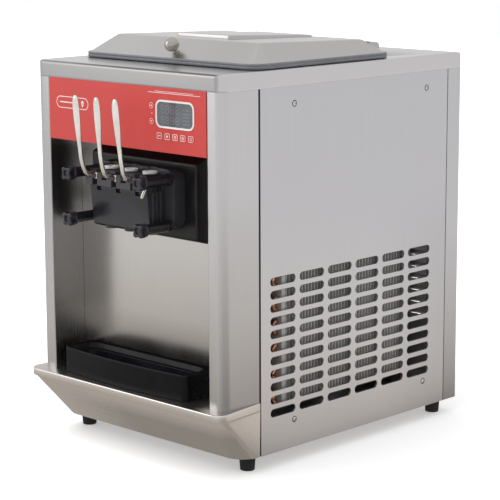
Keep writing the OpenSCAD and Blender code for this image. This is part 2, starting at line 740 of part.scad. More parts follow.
// outline around both pulleys, grown from their pitch circles
module belt_loop(grow) hull() {
  translate([0, cyl_z]) circle(r = gear_pulley_r + grow);
  translate([0, motor_z]) circle(r = motor_pulley_r + grow);
}
module drive_belt() color(dark) place() extrude_y(460.5, 473.5) difference() {
  belt_loop(5);
  belt_loop(0.8);
}

// ---------------------------------------------------------------- refrigeration
fan_y = 350;
fan_z = 260;
fan_shaft_r = 5;
coil_x = [203, 249];          // extent of the condenser
coil_y = [166, 533];

module condenser() color("silver") place() {
  // end plates, fins, side strip, then bottom and top plates
  for (y = [coil_y[0], coil_y[1] - 3]) box(coil_x[0], coil_x[1], y, y + 3, 92, 398);
  for (i = [0 : 40]) box(208, 246, 173 + i * 8.8, 175.5 + i * 8.8, 96, 394);
  box(207, 209, 169, 530, 96, 394);
  for (z = [92, 394]) box(coil_x[0], coil_x[1], coil_y[0], coil_y[1], z, z + 4);
}

// two columns of return bends, alternating between the front and back ends
module condenser_tubes() color([0.72, 0.45, 0.3]) place() {
  tube_pitch = 22.86;
  bend_r = tube_pitch / 2;
  for (x = [222, 236], i = [0 : 10])
    translate([x, coil_y[i % 2], 118 + i * tube_pitch + bend_r])
      rotate([0, -90, i % 2 == 0 ? 180 : 0])
        rotate_extrude(angle = 180) translate([bend_r, 0]) circle(r = 4.6, $fn = 24);
}

module fan_shroud() color(steel) place() difference() {
  box(192, coil_x[0], 164, 535, 90, 400);
  box(194, 204, 168, 531, 94, 396);
  rod_x(fan_r + 9, 180, 210, fan_y, fan_z);
}

module fan_blade() color([0.2, 0.2, 0.2]) place() translate([0, fan_y, fan_z]) {
  rod_x(26, 167, 189, 0, 0);
  rod_x(fan_shaft_r, 154, 180, 0, 0);
  // pitched blades, trimmed to the fan's radius
  for (i = [0 : blade_count - 1]) rotate([i * 360 / blade_count, 0, 0]) intersection() {
    translate([178, 0, 0]) rotate([0, 0, 22]) translate([-1.2, -40, 20]) cube([2.4, 80, 120]);
    rod_x(fan_r, 168, 188, 0, 0);
  }
}

module fan_motor() color([0.15, 0.15, 0.16]) place() difference() {
  union() {
    rod_x(40, 100, 158, fan_y, fan_z);
    // crossbar, and its arms to the shroud
    box(150, 153, fan_y - 150, fan_y + 150, fan_z - 12, fan_z + 12);
    for (y = [fan_y - 148, fan_y + 136]) box(150, 192, y, y + 12, fan_z - 12, fan_z + 12);
  }
  rod_x(fan_shaft_r + run_gap, 152, 170, fan_y, fan_z);
}

module compressor() color(dark) place() {
  // hollow shell
  translate([-100, 540, 48]) rotate_extrude() difference() {
    union() {
      translate([0, 14]) square([82, 150]);
      square([70, 190]);
      for (z = [160, 14]) translate([68, z]) circle(r = 14);
    }
    translate([-40, 10]) square([110, 150]);
  }
  // feet and mounting plate
  for (x = [-165, -35], y = [480, 600]) rod_z(11, foot_h + sheet, 50, x, y);
  box(-180, -20, 465, 615, 46, 49);
}

module power_cord() color(dark) place() {
  cord_r = 4;
  lead_l = 90;
  loop_r = 70;
  // gland
  rod_y(10, body_d - 8, body_d + 8, cord_x, cord_z);
  rod_y(14, body_d, body_d + 4, cord_x, cord_z);
  // straight lead, then one open loop
  translate([cord_x, cord_y, cord_z]) sphere(r = cord_r);
  translate([cord_x, cord_y, cord_z]) rotate([0, 90, 0]) cylinder(r = cord_r, h = lead_l);
  translate([cord_x + lead_l, cord_y, cord_z + loop_r]) rotate([90, 0, 0]) rotate([0, 0, -90])
    rotate_extrude(angle = 300) translate([loop_r, 0]) circle(r = cord_r, $fn = 24);
  // plug, on the upper left of the loop
  translate([-160.6, cord_y, 195]) rotate([0, 150, 0]) rotate([180, 0, 0])
    translate([-9, -plug_t / 2, -30]) cube([18, plug_t, 34]);
}

base_pan();
inner_frame();
base_apron();
feet();
top_cover();
front_columns();
side_panel_left();
side_panel_right();
rear_panel();
cover_screws();
bay_liner();
control_panel();
control_board();
display_bezel();
display_window();
key_up();
key_down();
key_off();
key_auto();
key_wash();
key_cool();
key_reset();
head_housing();
dispensing_head();
head_seals();
head_studs();
knob_upper_left();
knob_upper_right();
knob_lower_left();
knob_lower_right();
lever_pin();
lever_left();
lever_center();
lever_right();
piston_left();
piston_center();
piston_right();
nozzle_caps();
drip_tray();
hopper_lid();
lid_trim();
lid_handle();
lid_hinges();
hoppers();
freezing_cylinders();
cylinder_insulation();
beater_left();
beater_right();
drive_motor();
motor_pulley();
gearbox();
gearbox_pulley();
drive_belt();
condenser();
condenser_tubes();
fan_shroud();
fan_blade();
fan_motor();
compressor();
power_cord();
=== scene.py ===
"""Counter-top soft-serve machine: steel cabinet, three levers, hopper lid, drip tray, print.

Shapes are in millimetres from the middle of the front plane on the counter: +x right as seen
from the front, +y back, +z up. point() turns them into metres. Materials, lights and the
floor are in metres.
"""

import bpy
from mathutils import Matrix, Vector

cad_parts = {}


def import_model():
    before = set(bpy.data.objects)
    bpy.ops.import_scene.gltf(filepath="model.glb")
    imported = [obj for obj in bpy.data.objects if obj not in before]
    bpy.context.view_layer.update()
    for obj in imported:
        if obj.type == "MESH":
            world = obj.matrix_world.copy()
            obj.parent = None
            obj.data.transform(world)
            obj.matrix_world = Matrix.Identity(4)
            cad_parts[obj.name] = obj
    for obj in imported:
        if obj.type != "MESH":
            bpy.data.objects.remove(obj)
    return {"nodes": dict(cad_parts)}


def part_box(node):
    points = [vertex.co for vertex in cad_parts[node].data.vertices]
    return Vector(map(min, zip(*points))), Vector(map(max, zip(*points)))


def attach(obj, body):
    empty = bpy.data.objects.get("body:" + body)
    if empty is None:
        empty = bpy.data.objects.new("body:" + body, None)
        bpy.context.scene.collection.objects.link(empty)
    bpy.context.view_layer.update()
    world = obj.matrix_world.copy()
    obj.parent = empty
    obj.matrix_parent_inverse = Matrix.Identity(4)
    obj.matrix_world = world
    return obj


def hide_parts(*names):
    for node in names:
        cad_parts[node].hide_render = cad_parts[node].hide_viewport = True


CAD_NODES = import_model()["nodes"]
import math
import bmesh
import bpy
from mathutils import Matrix, Vector

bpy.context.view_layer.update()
FRONT_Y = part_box("front_columns")[0].y     # the front plane in the CAD frame, metres
MM = 0.001
SCENE = bpy.context.scene

# Main sizes, mm
HALF_WIDTH = 260       # cabinet, to the side panels' faces
BACK_Y = 691           # back edge of the top cover
COVER_BASE_Z = 725     # top of the columns, underside of the cover
APRON_TOP_Z = 136      # foot of the columns and of the drip tray
LID_X = 8              # the hopper lid sits off the centre line
ROW_PITCH = 25.4       # rows of ventilation slots and of louvres
LEVER_PITCH = 54
LEVER_PIVOT_Z = 548


def point(x, y, z):
    return Vector((x * MM, y * MM + FRONT_Y, z * MM))


# ------------------------------------------------------------------ shader graphs
class Graph:
    """Node tree of a material or a world, emptied down to its output node."""

    def __init__(self, owner):
        self.owner = owner
        owner.use_nodes = True
        self.tree = owner.node_tree
        for node in list(self.tree.nodes):
            if not node.type.startswith("OUTPUT"):
                self.tree.nodes.remove(node)
        self.output = self.tree.nodes[0]

    def feed(self, socket, value):
        """Links a socket into an input, or sets the input's value."""
        if isinstance(value, bpy.types.NodeSocket):
            self.tree.links.new(value, socket)
        elif socket.type == "RGBA":
            socket.default_value = (*value, 1)
        else:
            socket.default_value = value

    def add(self, kind, inputs=None, **settings):
        node = self.tree.nodes.new("ShaderNode" + kind)
        for key, value in settings.items():
            setattr(node, key, value)
        for key, value in (inputs or {}).items():
            self.feed(node.inputs[key], value)
        return node

    def end(self, result):
        self.feed(self.output.inputs[0], result)

    def noise(self, scale, detail=4.0, roughness=0.6, distortion=0.0):
        """Noise over object coordinates; scale is one number or one for each axis."""
        if not isinstance(scale, tuple):
            scale = (scale,) * 3
        place = self.add("TexCoord").outputs["Object"]
        place = self.add("Mapping", {"Vector": place, "Scale": scale}).outputs[0]
        return self.add("TexNoise", {
            "Vector": place, "Scale": 1.0, "Detail": detail,
            "Roughness": roughness, "Distortion": distortion}).outputs["Fac"]

    def remap(self, value, over=(0.0, 1.0), to=(0.0, 1.0)):
        return self.add("MapRange", {
            "Value": value, "From Min": over[0], "From Max": over[1],
            "To Min": to[0], "To Max": to[1]}).outputs[0]

    def mix(self, factor, first, second):
        node = self.add("Mix", data_type="RGBA")
        self.feed(next(i for i in node.inputs if i.type == "VALUE"), factor)
        colors = [i for i in node.inputs if i.type == "RGBA"]
        for socket, color in zip(colors, (first, second)):
            self.feed(socket, color)
        return next(o for o in node.outputs if o.type == "RGBA")

    def math(self, operation, first, second, clamp=True):
        return self.add("Math", {0: first, 1: second},
                        operation=operation, use_clamp=clamp).outputs[0]

    def multiply(self, first, second):
        return self.math("MULTIPLY", first, second)

    def maximum(self, first, second):
        return self.math("MAXIMUM", first, second)

    def axes(self, output):
        """x, y and z of the world-space "Position" or "Normal"."""
        source = self.add("NewGeometry").outputs[output]
        return self.add("SeparateXYZ", {0: source}).outputs

    def by_camera(self, others, camera):
        """One shader for camera rays, another for all other rays."""
        ray = self.add("LightPath").outputs["Is Camera Ray"]
        self.end(self.add("MixShader", {0: ray, 1: others, 2: camera}).outputs[0])


class Surface(Graph):
    """Material with a Principled shader."""

    def __init__(self, name):
        super().__init__(bpy.data.materials.new(name))
        self.shader = self.add("BsdfPrincipled")
        self.end(self.shader.outputs[0])

    def set(self, name, value):
        self.feed(self.shader.inputs[name], value)

    def bump(self, height, strength, distance, over=None, bevel=0.0):
        """Bump on top of another normal, or of edges rounded by the bevel radius."""
        node = self.add("Bump", {"Height": height, "Strength": strength, "Distance": distance})
        if bevel:
            over = self.add("Bevel", {"Radius": bevel}, samples=4).outputs[0]
        if over is not None:
            self.feed(node.inputs["Normal"], over)
        self.set("Normal", node.outputs[0])
        return node.outputs[0]


def scaled(color, factor, lift=0.0):
    return tuple(min(1, c * factor + lift) for c in color)


# ------------------------------------------------------------------ steel masks of painted shade
# Each mask is painted shade: how far the steel is mixed to black, by world position and normal.
def shade_columns(mat):
    """Painted shade: darkens the left column's upper part and the faces of both columns turned to
    +x.
    """
    x, _, z = mat.axes("Position")
    upper_left = mat.multiply(mat.remap(x, over=(-0.2, 0.1), to=(0.20, 0.0)),
                              mat.remap(z, over=(0.22, 0.5)))
    turned_right = mat.multiply(mat.remap(mat.axes("Normal")[0], over=(0.2, 0.7)),
                                mat.remap(z, over=(0.15, 0.55), to=(0.40, 0.05)))
    left_inner = mat.multiply(
        mat.multiply(mat.remap(mat.axes("Normal")[0], over=(0.4, 0.8), to=(0.0, 0.45)),
                     mat.remap(x, over=(-0.16, -0.12), to=(1.0, 0.0))),
        mat.remap(z, over=(0.18, 0.27), to=(0.1, 1.0)))
    right_outer = mat.multiply(turned_right, mat.remap(x, over=(0.19, 0.22)))
    return mat.maximum(upper_left, mat.maximum(left_inner, right_outer))


def shade_apron(mat):
    """Painted shade: darkens the top lip, the right flank, and the low front slope towards the
    right.
    """
    x, _, z = mat.axes("Position")
    lip = mat.multiply(mat.remap(z, over=(0.116, 0.121), to=(0.10, 0.40)),
                       mat.remap(mat.axes("Normal")[2], over=(0.4, 0.9)))
    flank = mat.remap(mat.axes("Normal")[0], over=(0.6, 0.95), to=(0.0, 0.28))
    slope = mat.multiply(
        mat.remap(mat.axes("Normal")[1], over=(-0.4, -0.1), to=(1.0, 0.0)),
        mat.multiply(mat.remap(x, over=(-0.22, -0.02), to=(0.0, 0.36)),
                     mat.remap(z, over=(0.08, 0.112), to=(1.0, 0.0))))
    return mat.maximum(flank, mat.maximum(lip, slope))


def shade_side(mat):
    """Painted shade: darkens the side panels near the floor and low down at the back."""
    _, y, z = mat.axes("Position")
    low_back = mat.multiply(mat.remap(y, over=(0.12, 0.33), to=(0.0, 0.16)),
                            mat.remap(z, over=(0.2, 0.5), to=(1.0, 0.0)))
    return mat.maximum(mat.remap(z, over=(0.03, 0.13), to=(0.03, 0.0)), low_back)


def shade_rear(mat):
    """Painted shade: darkens the rear panel towards the floor."""
    return mat.remap(mat.axes("Position")[2], over=(0.05, 0.4), to=(0.42, 0.04))


def shade_bay(mat):
    """Painted shade: darkens the bay liner towards its left edge and behind the tray."""
    x, _, z = mat.axes("Position")
    return mat.maximum(mat.remap(x, over=(-0.21, -0.13), to=(0.08, 0.0)),
                       mat.remap(z, over=(0.20, 0.27), to=(0.28, 0.0)))


def shade_cover(mat):
    """Painted shade: darkens the cover's front band and the rounded edge above it."""
    across, along, upward = mat.axes("Normal")
    edge = mat.multiply(
        mat.multiply(mat.remap(along, over=(-0.3, -0.04), to=(1.0, 0.0)),
                     mat.remap(upward, over=(0.1, 0.35))),
        mat.multiply(mat.remap(across, over=(0.1, 0.4), to=(1.0, 0.0)),
                     mat.remap(mat.axes("Position")[0], over=(-0.26, 0.0), to=(0.42, 0.74))))
    return mat.maximum(mat.remap(along, over=(-0.98, -0.85), to=(0.37, 0.0)), edge)


def shade_lid(mat):
    """Painted shade: darkens the lid's front slope towards the right, and its right slope."""
    across, along, _ = mat.axes("Normal")
    front = mat.multiply(mat.remap(along, over=(-0.5, -0.2), to=(1.0, 0.0)),
                         mat.remap(mat.axes("Position")[0], over=(-0.12, 0.14), to=(0.0, 0.12)))
    return mat.maximum(front, mat.remap(across, over=(0.2, 0.4), to=(0.0, 0.14)))


# ------------------------------------------------------------------ kinds of material
def brushed(name, color, tint, roughness, axis="Z", grain=0.05, smudge=0.05, shade=None):
    """Brushed stainless sheet: fine lines along one axis, faint cloudy smudges and tint, and
    painted shade where a shade mask is given.
    """
    mat = Surface(name)

    def line_noise(along, across, detail, roughness):
        scale = tuple(along if letter == axis else across for letter in "XYZ")
        return mat.noise(scale, detail, roughness)

    fine = line_noise(along=5.0, across=1500.0, detail=3.0, roughness=0.7)
    coarse = line_noise(along=4, across=900, detail=2.0, roughness=0.5)
    cloud = mat.noise((3.2, 3.2, 2.1), detail=5.0, roughness=0.55, distortion=0.6)
    lines = mat.mix(mat.remap(coarse, over=(0.32, 0.68)), scaled(color, 0.98),
                    scaled(color, 1.016))
    base = mat.mix(mat.remap(cloud, over=(0.35, 0.75), to=(0.0, smudge * 6)), lines, tint)
    # painted shade: the mask mixes the steel's colour towards black
    if shade:
        base = mat.mix(shade(mat), base, (0, 0, 0))
    mat.set("Base Color", base)
    mat.set("Metallic", 1.0)
    mat.set("Roughness", mat.math(
        "ADD", mat.remap(fine, over=(0.3, 0.7), to=(roughness - 0.03, roughness + 0.03)),
        mat.remap(cloud, over=(0.35, 0.7), to=(-0.02, smudge)), clamp=False))
    lines_normal = mat.bump(fine, strength=grain * 0.22, distance=0.0006)
    mat.bump(cloud, strength=0.03, distance=0.02, over=lines_normal)
    return mat.owner


def plastic(name, color, roughness=0.42, grain=0.06, bevel=0.0008, scale=1800.0,
            specular=0.5, wear_and_highlight=0.0, specular_up=None):
    """Moulded plastic: fine texture, cloudy gloss, and lighter edges that are partly rub marks and
    partly a painted highlight.

    specular_up is the specular level of faces that look up.
    """
    mat = Surface(name)
    fine = mat.noise(scale, detail=2.0)
    cloud = mat.noise(14, detail=5.0, distortion=0.4)
    base = mat.mix(mat.remap(cloud, over=(0.3, 0.7)), scaled(color, 0.85),
                   scaled(color, 1.15, lift=0.002))
    # lighter convex edges: partly rub marks, partly a painted highlight along them
    if wear_and_highlight:
        edges = mat.add("NewGeometry").outputs["Pointiness"]
        base = mat.mix(mat.remap(edges, over=(0.53, 0.62), to=(0.0, wear_and_highlight)), base,
                       scaled(color, 2.2, lift=0.05))
    mat.set("Base Color", base)
    mat.set("Roughness", mat.remap(cloud, over=(0.3, 0.7),
                                   to=(roughness - 0.06, roughness + 0.09)))
    mat.set("Specular IOR Level", specular)
    if specular_up is not None:
        mat.set("Specular IOR Level", mat.remap(
            mat.axes("Normal")[2], over=(0.5, 0.85), to=(specular, specular_up)))
    mat.set("Coat Roughness", 0.12)
    mat.bump(fine, strength=grain, distance=0.0003, bevel=bevel)
    return mat.owner


def painted(name, color, roughness, coat):
    """Powder coat over sheet steel: faint orange peel and a clear top."""
    mat = Surface(name)
    peel = mat.noise(420, detail=2.0)
    cloud = mat.noise(5)
    mat.set("Base Color", mat.mix(mat.remap(cloud, over=(0.3, 0.7)),
                                  scaled(color, 0.95), scaled(color, 1.05)))
    mat.set("Roughness", mat.remap(peel, over=(0.3, 0.7),
                                   to=(roughness - 0.03, roughness + 0.05)))
    mat.set("Coat Weight", coat)
    mat.set("Coat Roughness", 0.16)
    mat.bump(peel, strength=0.04, distance=0.0006, bevel=0.0006)
    return mat.owner


def metal(name, color, roughness, grain, scale, bevel=0.0006, stretch_z=1.0):
    """Cast, drawn or polished metal with small scuffs; stretch_z < 1 draws them out along z."""
    mat = Surface(name)
    scuffs = mat.noise((scale, scale, scale * stretch_z), roughness=0.65)
    cloud = mat.noise(18, detail=5.0, distortion=0.5)
    mat.set("Base Color", mat.mix(mat.remap(cloud, over=(0.3, 0.72)),
                                  scaled(color, 0.84), scaled(color, 1.08)))
    mat.set("Metallic", 1.0)
    mat.set("Roughness", mat.remap(cloud, over=(0.3, 0.7),
                                   to=(roughness * 0.7, roughness * 1.5)))
    mat.bump(scuffs, strength=grain, distance=0.0005, bevel=bevel)
    return mat.owner


def display_glass():
    """Unlit liquid crystal panel under clear acrylic: cloudy dark slate."""
    mat = Surface("display_glass")
    cloud = mat.noise((22, 22, 30), detail=3.0, distortion=0.8)
    fine = mat.noise(900, detail=1.0)
    mat.set("Base Color", mat.mix(mat.remap(cloud, over=(0.35, 0.68)),
                                  (0.065, 0.078, 0.09), (0.115, 0.13, 0.145)))
    mat.set("Roughness", mat.remap(fine, to=(0.12, 0.2)))
    mat.set("Coat Weight", 0.8)
    mat.set("Coat Roughness", 0.05)
    mat.bump(fine, strength=0.02, distance=0.0002)
    return mat.owner


# ------------------------------------------------------------------ the materials
STEEL_FRONT = brushed("steel_front", (0.61, 0.60, 0.60), tint=(0.64, 0.62, 0.60),
                      roughness=0.26, shade=shade_columns)
STEEL_BAY = brushed("steel_bay", (0.62, 0.60, 0.57), tint=(0.64, 0.61, 0.58),
                    roughness=0.22, grain=0.04, smudge=0.06, shade=shade_bay)
STEEL_SIDE = brushed("steel_side", (0.56, 0.555, 0.57), tint=(0.58, 0.57, 0.575),
                     roughness=0.34, shade=shade_side)
STEEL_COVER = brushed("steel_cover", (0.61, 0.60, 0.595), tint=(0.62, 0.61, 0.60),
                      roughness=0.30, axis="X", shade=shade_cover)
STEEL_REAR = brushed("steel_rear", (0.58, 0.575, 0.585), tint=(0.60, 0.59, 0.59),
                     roughness=0.34, shade=shade_rear)
# painted light: the apron's steel is a much brighter copy of the cabinet steel, lifting the low
# apron that mirrors the dark floor
STEEL_APRON = brushed("steel_apron", (0.90, 0.865, 0.83), tint=(0.82, 0.77, 0.72),
                      roughness=0.26, axis="X", smudge=0.06, shade=shade_apron)
STEEL_LID = brushed("steel_lid", (0.565, 0.55, 0.545), tint=(0.57, 0.555, 0.545),
                    roughness=0.30, axis="X", grain=0.04, shade=shade_lid)
STEEL_INNER = brushed("steel_inner", (0.36, 0.36, 0.36), tint=(0.36, 0.36, 0.36),
                      roughness=0.425, smudge=0.08)
LEVER = metal("lever_steel", (0.86, 0.84, 0.78), roughness=0.16, grain=0.03, scale=500.0,
              bevel=0.0, stretch_z=0.05)
CHROME = metal("polished_steel", (0.84, 0.82, 0.78), roughness=0.10, grain=0.02,
               scale=500.0, bevel=0.0003)
BALL = metal("ball_steel", (0.44, 0.42, 0.375), roughness=0.12, grain=0.03,
             scale=500.0, bevel=0.0003)
SCREW = metal("screw_steel", (0.62, 0.61, 0.60), roughness=0.14, grain=0.05,
              scale=600.0, bevel=0.0004)
RED = painted("red_paint", (0.60, 0.040, 0.032), roughness=0.34, coat=0.12)
BLACK = plastic("black_abs", (0.011, 0.0108, 0.0150), roughness=0.18, grain=0.04,
                bevel=0.0012, specular=0.52, wear_and_highlight=0.5, specular_up=0.0)
HOUSING = plastic("black_housing", (0.009, 0.0085, 0.0095), roughness=0.32, grain=0.05,
                  bevel=0.0016, specular=0.32, wear_and_highlight=0.6)
TRAY = plastic("black_tray", (0.0050, 0.0048, 0.0066), roughness=0.26, grain=0.05,
               bevel=0.0012, specular=0.15, wear_and_highlight=0.3, specular_up=0.0)
RUBBER = plastic("black_rubber", (0.014, 0.014, 0.015), roughness=0.62, grain=0.14,
                 scale=900.0, specular=0.35)
TRIM = plastic("grey_rubber", (0.165, 0.175, 0.192), roughness=0.45, grain=0.08,
               scale=900.0, specular=0.40)
WHITE = plastic("white_acetal", (0.75, 0.75, 0.73), roughness=0.3, grain=0.03)
PRINT = plastic("white_print", (0.85, 0.82, 0.8), roughness=0.5, grain=0.02, bevel=0.0)
COPPER = metal("copper_tube", (0.66, 0.33, 0.2), roughness=0.28, grain=0.06, scale=400.0)
ALUMINIUM = metal("aluminium_fin", (0.62, 0.62, 0.61), roughness=0.36, grain=0.08,
                  scale=500.0, bevel=0.0)
FIN = plastic("fin_edges", (0.44, 0.43, 0.42), roughness=0.45, grain=0.10, bevel=0.0,
              scale=700.0)
IRON = plastic("painted_iron", (0.03, 0.032, 0.036), roughness=0.5, grain=0.25,
               bevel=0.001, scale=260.0)
FOAM = plastic("foam", (0.66, 0.58, 0.36), roughness=0.8, grain=0.4, bevel=0.0,
               scale=300.0, specular=0.2)
BOARD = plastic("board", (0.02, 0.12, 0.05), roughness=0.4, grain=0.1, bevel=0.0003)
DISPLAY = display_glass()
SEGMENT = plastic("lcd_segment", (0.17, 0.185, 0.20), roughness=0.3, grain=0.02, bevel=0.0)


# ------------------------------------------------------------------ outlines and solids
# A shape is (vertices in metres, faces). A loop is a list of vertices.
def arc(x, y, radius, start, end, steps):
    """Points on an arc about (x, y), angles in degrees."""
    angles = [math.radians(start + (end - start) * i / steps) for i in range(steps + 1)]
    return [(x + radius * math.cos(a), y + radius * math.sin(a)) for a in angles]


def circle(x, y, radius, sides=24):
    return arc(x, y, radius, 0, 360, sides)[:-1]


def rounded_rect(x0, y0, x1, y1, radius, steps=8):
    """Counter-clockwise outline; one radius, or four from the (x0, y0) corner round."""
    radii = radius if isinstance(radius, (list, tuple)) else [radius] * 4
    corners = [(x0, y0, 180, 1, 1), (x1, y0, 270, -1, 1), (x1, y1, 0, -1, -1), (x0, y1, 90, 1, -1)]
    points = []
    for (x, y, start, to_x, to_y), r in zip(corners, radii):
        points += arc(x + to_x * r, y + to_y * r, r, start, start + 90, steps)
    return points


def at_z(points, z):
    return [point(x, y, z) for x, y in points]


def at_y(points, y):
    return [point(x, y, z) for x, z in points]


def at_x(points, x):
    return [point(x, y, z) for y, z in points]


def loft(loops, ring=False):
    """Quads between equal loops; ring joins last to first, otherwise the ends are capped."""
    verts = [vert for loop in loops for vert in loop]
    faces = []
    size, count = len(loops[0]), len(loops)
    for i in range(count if ring else count - 1):
        low, high = i * size, ((i + 1) % count) * size
        for j in range(size):
            after = (j + 1) % size
            faces.append((low + j, low + after, high + after, high + j))
    if not ring:
        faces.append(tuple(range(size))[::-1])
        faces.append(tuple((count - 1) * size + j for j in range(size)))
    return verts, faces


def join(parts):
    verts, faces = [], []
    for part_verts, part_faces in parts:
        first = len(verts)
        verts += part_verts
        faces += [tuple(i + first for i in face) for face in part_faces]
    return verts, faces


def lathe(profile, origin, axis, sides, ring=False):
    """Turns a profile of (radius, height) in mm about an axis through origin."""
    axis = Vector(axis).normalized()
    side = axis.orthogonal().normalized()
    other = axis.cross(side)
    angles = [2 * math.pi * i / sides for i in range(sides)]
    loops = []
    for radius, height in profile:
        radius = max(radius, 0.02)
        loops.append([origin + axis * (height * MM)
                      + (side * math.cos(a) + other * math.sin(a)) * (radius * MM)
                      for a in angles])
    return loft(loops, ring)


def rounded_box(xs, ys, zs, radius, steps):
    """Box between (low, high) pairs, with all edges rounded."""
    edge = []
    for i in range(steps + 1):
        angle = math.pi / 2 * i / steps
        edge.append((radius * (1 - math.sin(angle)), radius * (1 - math.cos(angle))))

    def outline(inset, z):
        return at_z(rounded_rect(xs[0] + inset, ys[0] + inset, xs[1] - inset, ys[1] - inset,
                                 max(radius - inset, 0.05), 3), z)

    return loft([outline(inset, zs[0] + rise) for inset, rise in edge]
                + [outline(inset, zs[1] - rise) for inset, rise in edge[::-1]])


def shade_smooth(mesh, sharp):
    """Smooth faces, with edges steeper than the sharp angle in degrees kept hard."""
    mesh.polygons.foreach_set("use_smooth", [True] * len(mesh.polygons))
    mesh.set_sharp_from_angle(angle=math.radians(sharp))


def build(name, shape, material, body, sharp, replaces=None):
    """Makes the object, fixes it to a moving body and may take a CAD node's place."""
    mesh = bpy.data.meshes.new(name)
    verts, faces = shape
    mesh.from_pydata([tuple(vert) for vert in verts], [], faces)
    work = bmesh.new()
    work.from_mesh(mesh)
    bmesh.ops.remove_doubles(work, verts=work.verts, dist=1e-7)
    bmesh.ops.recalc_face_normals(work, faces=work.faces)
    work.to_mesh(mesh)
    work.free()
    obj = bpy.data.objects.new(name, mesh)
    SCENE.collection.objects.link(obj)
    mesh.materials.append(material)
    shade_smooth(mesh, sharp)
    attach(obj, body)
    if replaces:
        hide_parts(replaces)


# ------------------------------------------------------------------ finishes of the CAD nodes
FINISHES = [
    (STEEL_INNER, "base_pan inner_frame fan_shroud"),
    (STEEL_SIDE, "side_panel_left side_panel_right"),
    (STEEL_REAR, "rear_panel"),
    (STEEL_BAY, "bay_liner"),
    (STEEL_COVER, "lid_hinges top_cover"),
    (STEEL_LID, "hoppers hopper_lid"),
    (STEEL_FRONT, "front_columns"),
    (STEEL_APRON, "base_apron"),
    (SCREW, "cover_screws head_studs"),
    (CHROME, "lever_pin freezing_cylinders"),
    (BALL, "lid_handle"),
    (RED, "control_panel"),
    (BOARD, "control_board"),
    (PRINT, "display_bezel"),
    (DISPLAY, "display_window"),
    (HOUSING, "head_housing"),
    (BLACK, "dispensing_head nozzle_caps fan_blade"),
    (TRAY, "drip_tray"),
    (RUBBER, "head_seals drive_belt power_cord feet"),
    (TRIM, "lid_trim"),
    (WHITE, "beater_left beater_right"),
    (FOAM, "cylinder_insulation"),
    (IRON, "drive_motor gearbox fan_motor compressor"),
    (ALUMINIUM, "motor_pulley gearbox_pulley condenser"),
    (COPPER, "condenser_tubes"),
]
FINISH_BY_NAME = {name: material for material, names in FINISHES for name in names.split()}
# families of nodes, by the first word of the name
FINISH_BY_FAMILY = {"key": RED, "knob": BLACK, "lever": LEVER, "piston": WHITE}

for name, node in CAD_NODES.items():
    node.data.materials.clear()
    node.data.materials.append(FINISH_BY_NAME.get(name) or FINISH_BY_FAMILY[name.split("_")[0]])
    shade_smooth(node.data, sharp=30)


# ------------------------------------------------------------------ base apron
# (half width, front y, front corner radius, z)
APRON_TOP = [
    (271.6, -24.6, 22, 136), (273.0, -26.0, 23.2, 135.7), (273.8, -26.8, 23.8, 134.9),
    (274, -27, 24, 133.6), (274, -27, 24, 123.2), (273.6, -26.6, 23.8, 121.8),
    (272.6, -25.6, 23.2, 120.9), (271, -24, 22.4, 120.5), (270, -22.8, 22.4, 119.9),
]
APRON_SLOPE = (269.5, -21.5, 22.6, 118.4), (260.2, 47.4, 42.6, 32.4)
APRON_FOOT = [(260.0, 48.4, 42.6, 31), (259.4, 49.4, 42, 30.2), (258.8, 50.2, 41.4, 30)]
APRON_INNER_FOOT = [(258.4, 50.8, 41, 30.2)]
APRON_INNER_SLOPE = (258.3, 50.8, 41, 32), (267.5, -19.5, 21, 116.5)
APRON_INNER_TOP = [
    (268, -21, 20, 121.9), (272, -25, 22, 122.6), (272.2, -25.2, 22.2, 133.4),
    (270, -23, 21, 134.6),
]
APRON_BACK_Y = 94.4
APRON_LIP_Z = 117        # the lip lies above this height


def stations_between(ends, steps):
    start, end = ends
    return [tuple(a + (b - a) * i / steps for a, b in zip(start, end)) for i in range(steps + 1)]


def apron_loop(half_width, front_y, radius, z, lip_back):
    """Outline whose ends draw in towards the side panel seam at the back."""
    if z > APRON_LIP_Z:
        back = lip_back
    else:
        back = min(half_width, 260.2 + (half_width - 260.2) * 0.15)
    side_start = front_y + radius
    points = []
    for x, y in rounded_rect(-half_width, front_y, half_width, APRON_BACK_Y,
                             [radius, radius, 0.6, 0.6], 12):
        if abs(x) > half_width - 1:
            along = max(0, (y - side_start) / (APRON_BACK_Y - side_start))
            x -= math.copysign((half_width - back) * along, x)
        points.append((x, y))
    return at_z(points, z)


def apron():
    outer = APRON_TOP + stations_between(APRON_SLOPE, 14) + APRON_FOOT
    inner = APRON_INNER_FOOT + stations_between(APRON_INNER_SLOPE, 4) + APRON_INNER_TOP
    return loft([apron_loop(*row, lip_back=261.6) for row in outer]
                + [apron_loop(*row, lip_back=259.8) for row in inner])


build("apron_shell", apron(), STEEL_APRON, "cabinet", 50, "base_apron")

# ------------------------------------------------------------------ top cover
# (inset, z) round the hopper opening, then over the outer edge and back underneath
COVER_OPENING = [(0.0, 755.5), (-0.2, 756.5), (-1.0, 757.0)]
COVER_EDGE = [
    (7, 757.0), (3.6, 756.75), (1.7, 755.9), (0.55, 754.4), (0.05, 752.4), (0, 750),
    (0, 728), (0, 725.6), (0.4, COVER_BASE_Z), (1.2, COVER_BASE_Z), (1.5, 725.6), (1.5, 752),
    (3, 755.2), (6, 755.5),
]


def cover():
    loops = [at_z(rounded_rect(-200 + inset, 140 + inset, 200 - inset, 430 - inset,
                               12 - inset, 12), z)
             for inset, z in COVER_OPENING]
    for inset, z in COVER_EDGE:
        front = 21 - inset * 0.7
        loops.append(at_z(rounded_rect(-HALF_WIDTH + inset, inset, HALF_WIDTH - inset,
                                       BACK_Y - inset, [front, front, 3.2, 3.2], 12), z))
    return loft(loops, ring=True)


build("cover_shell", cover(), STEEL_COVER, "cabinet", 40, "top_cover")


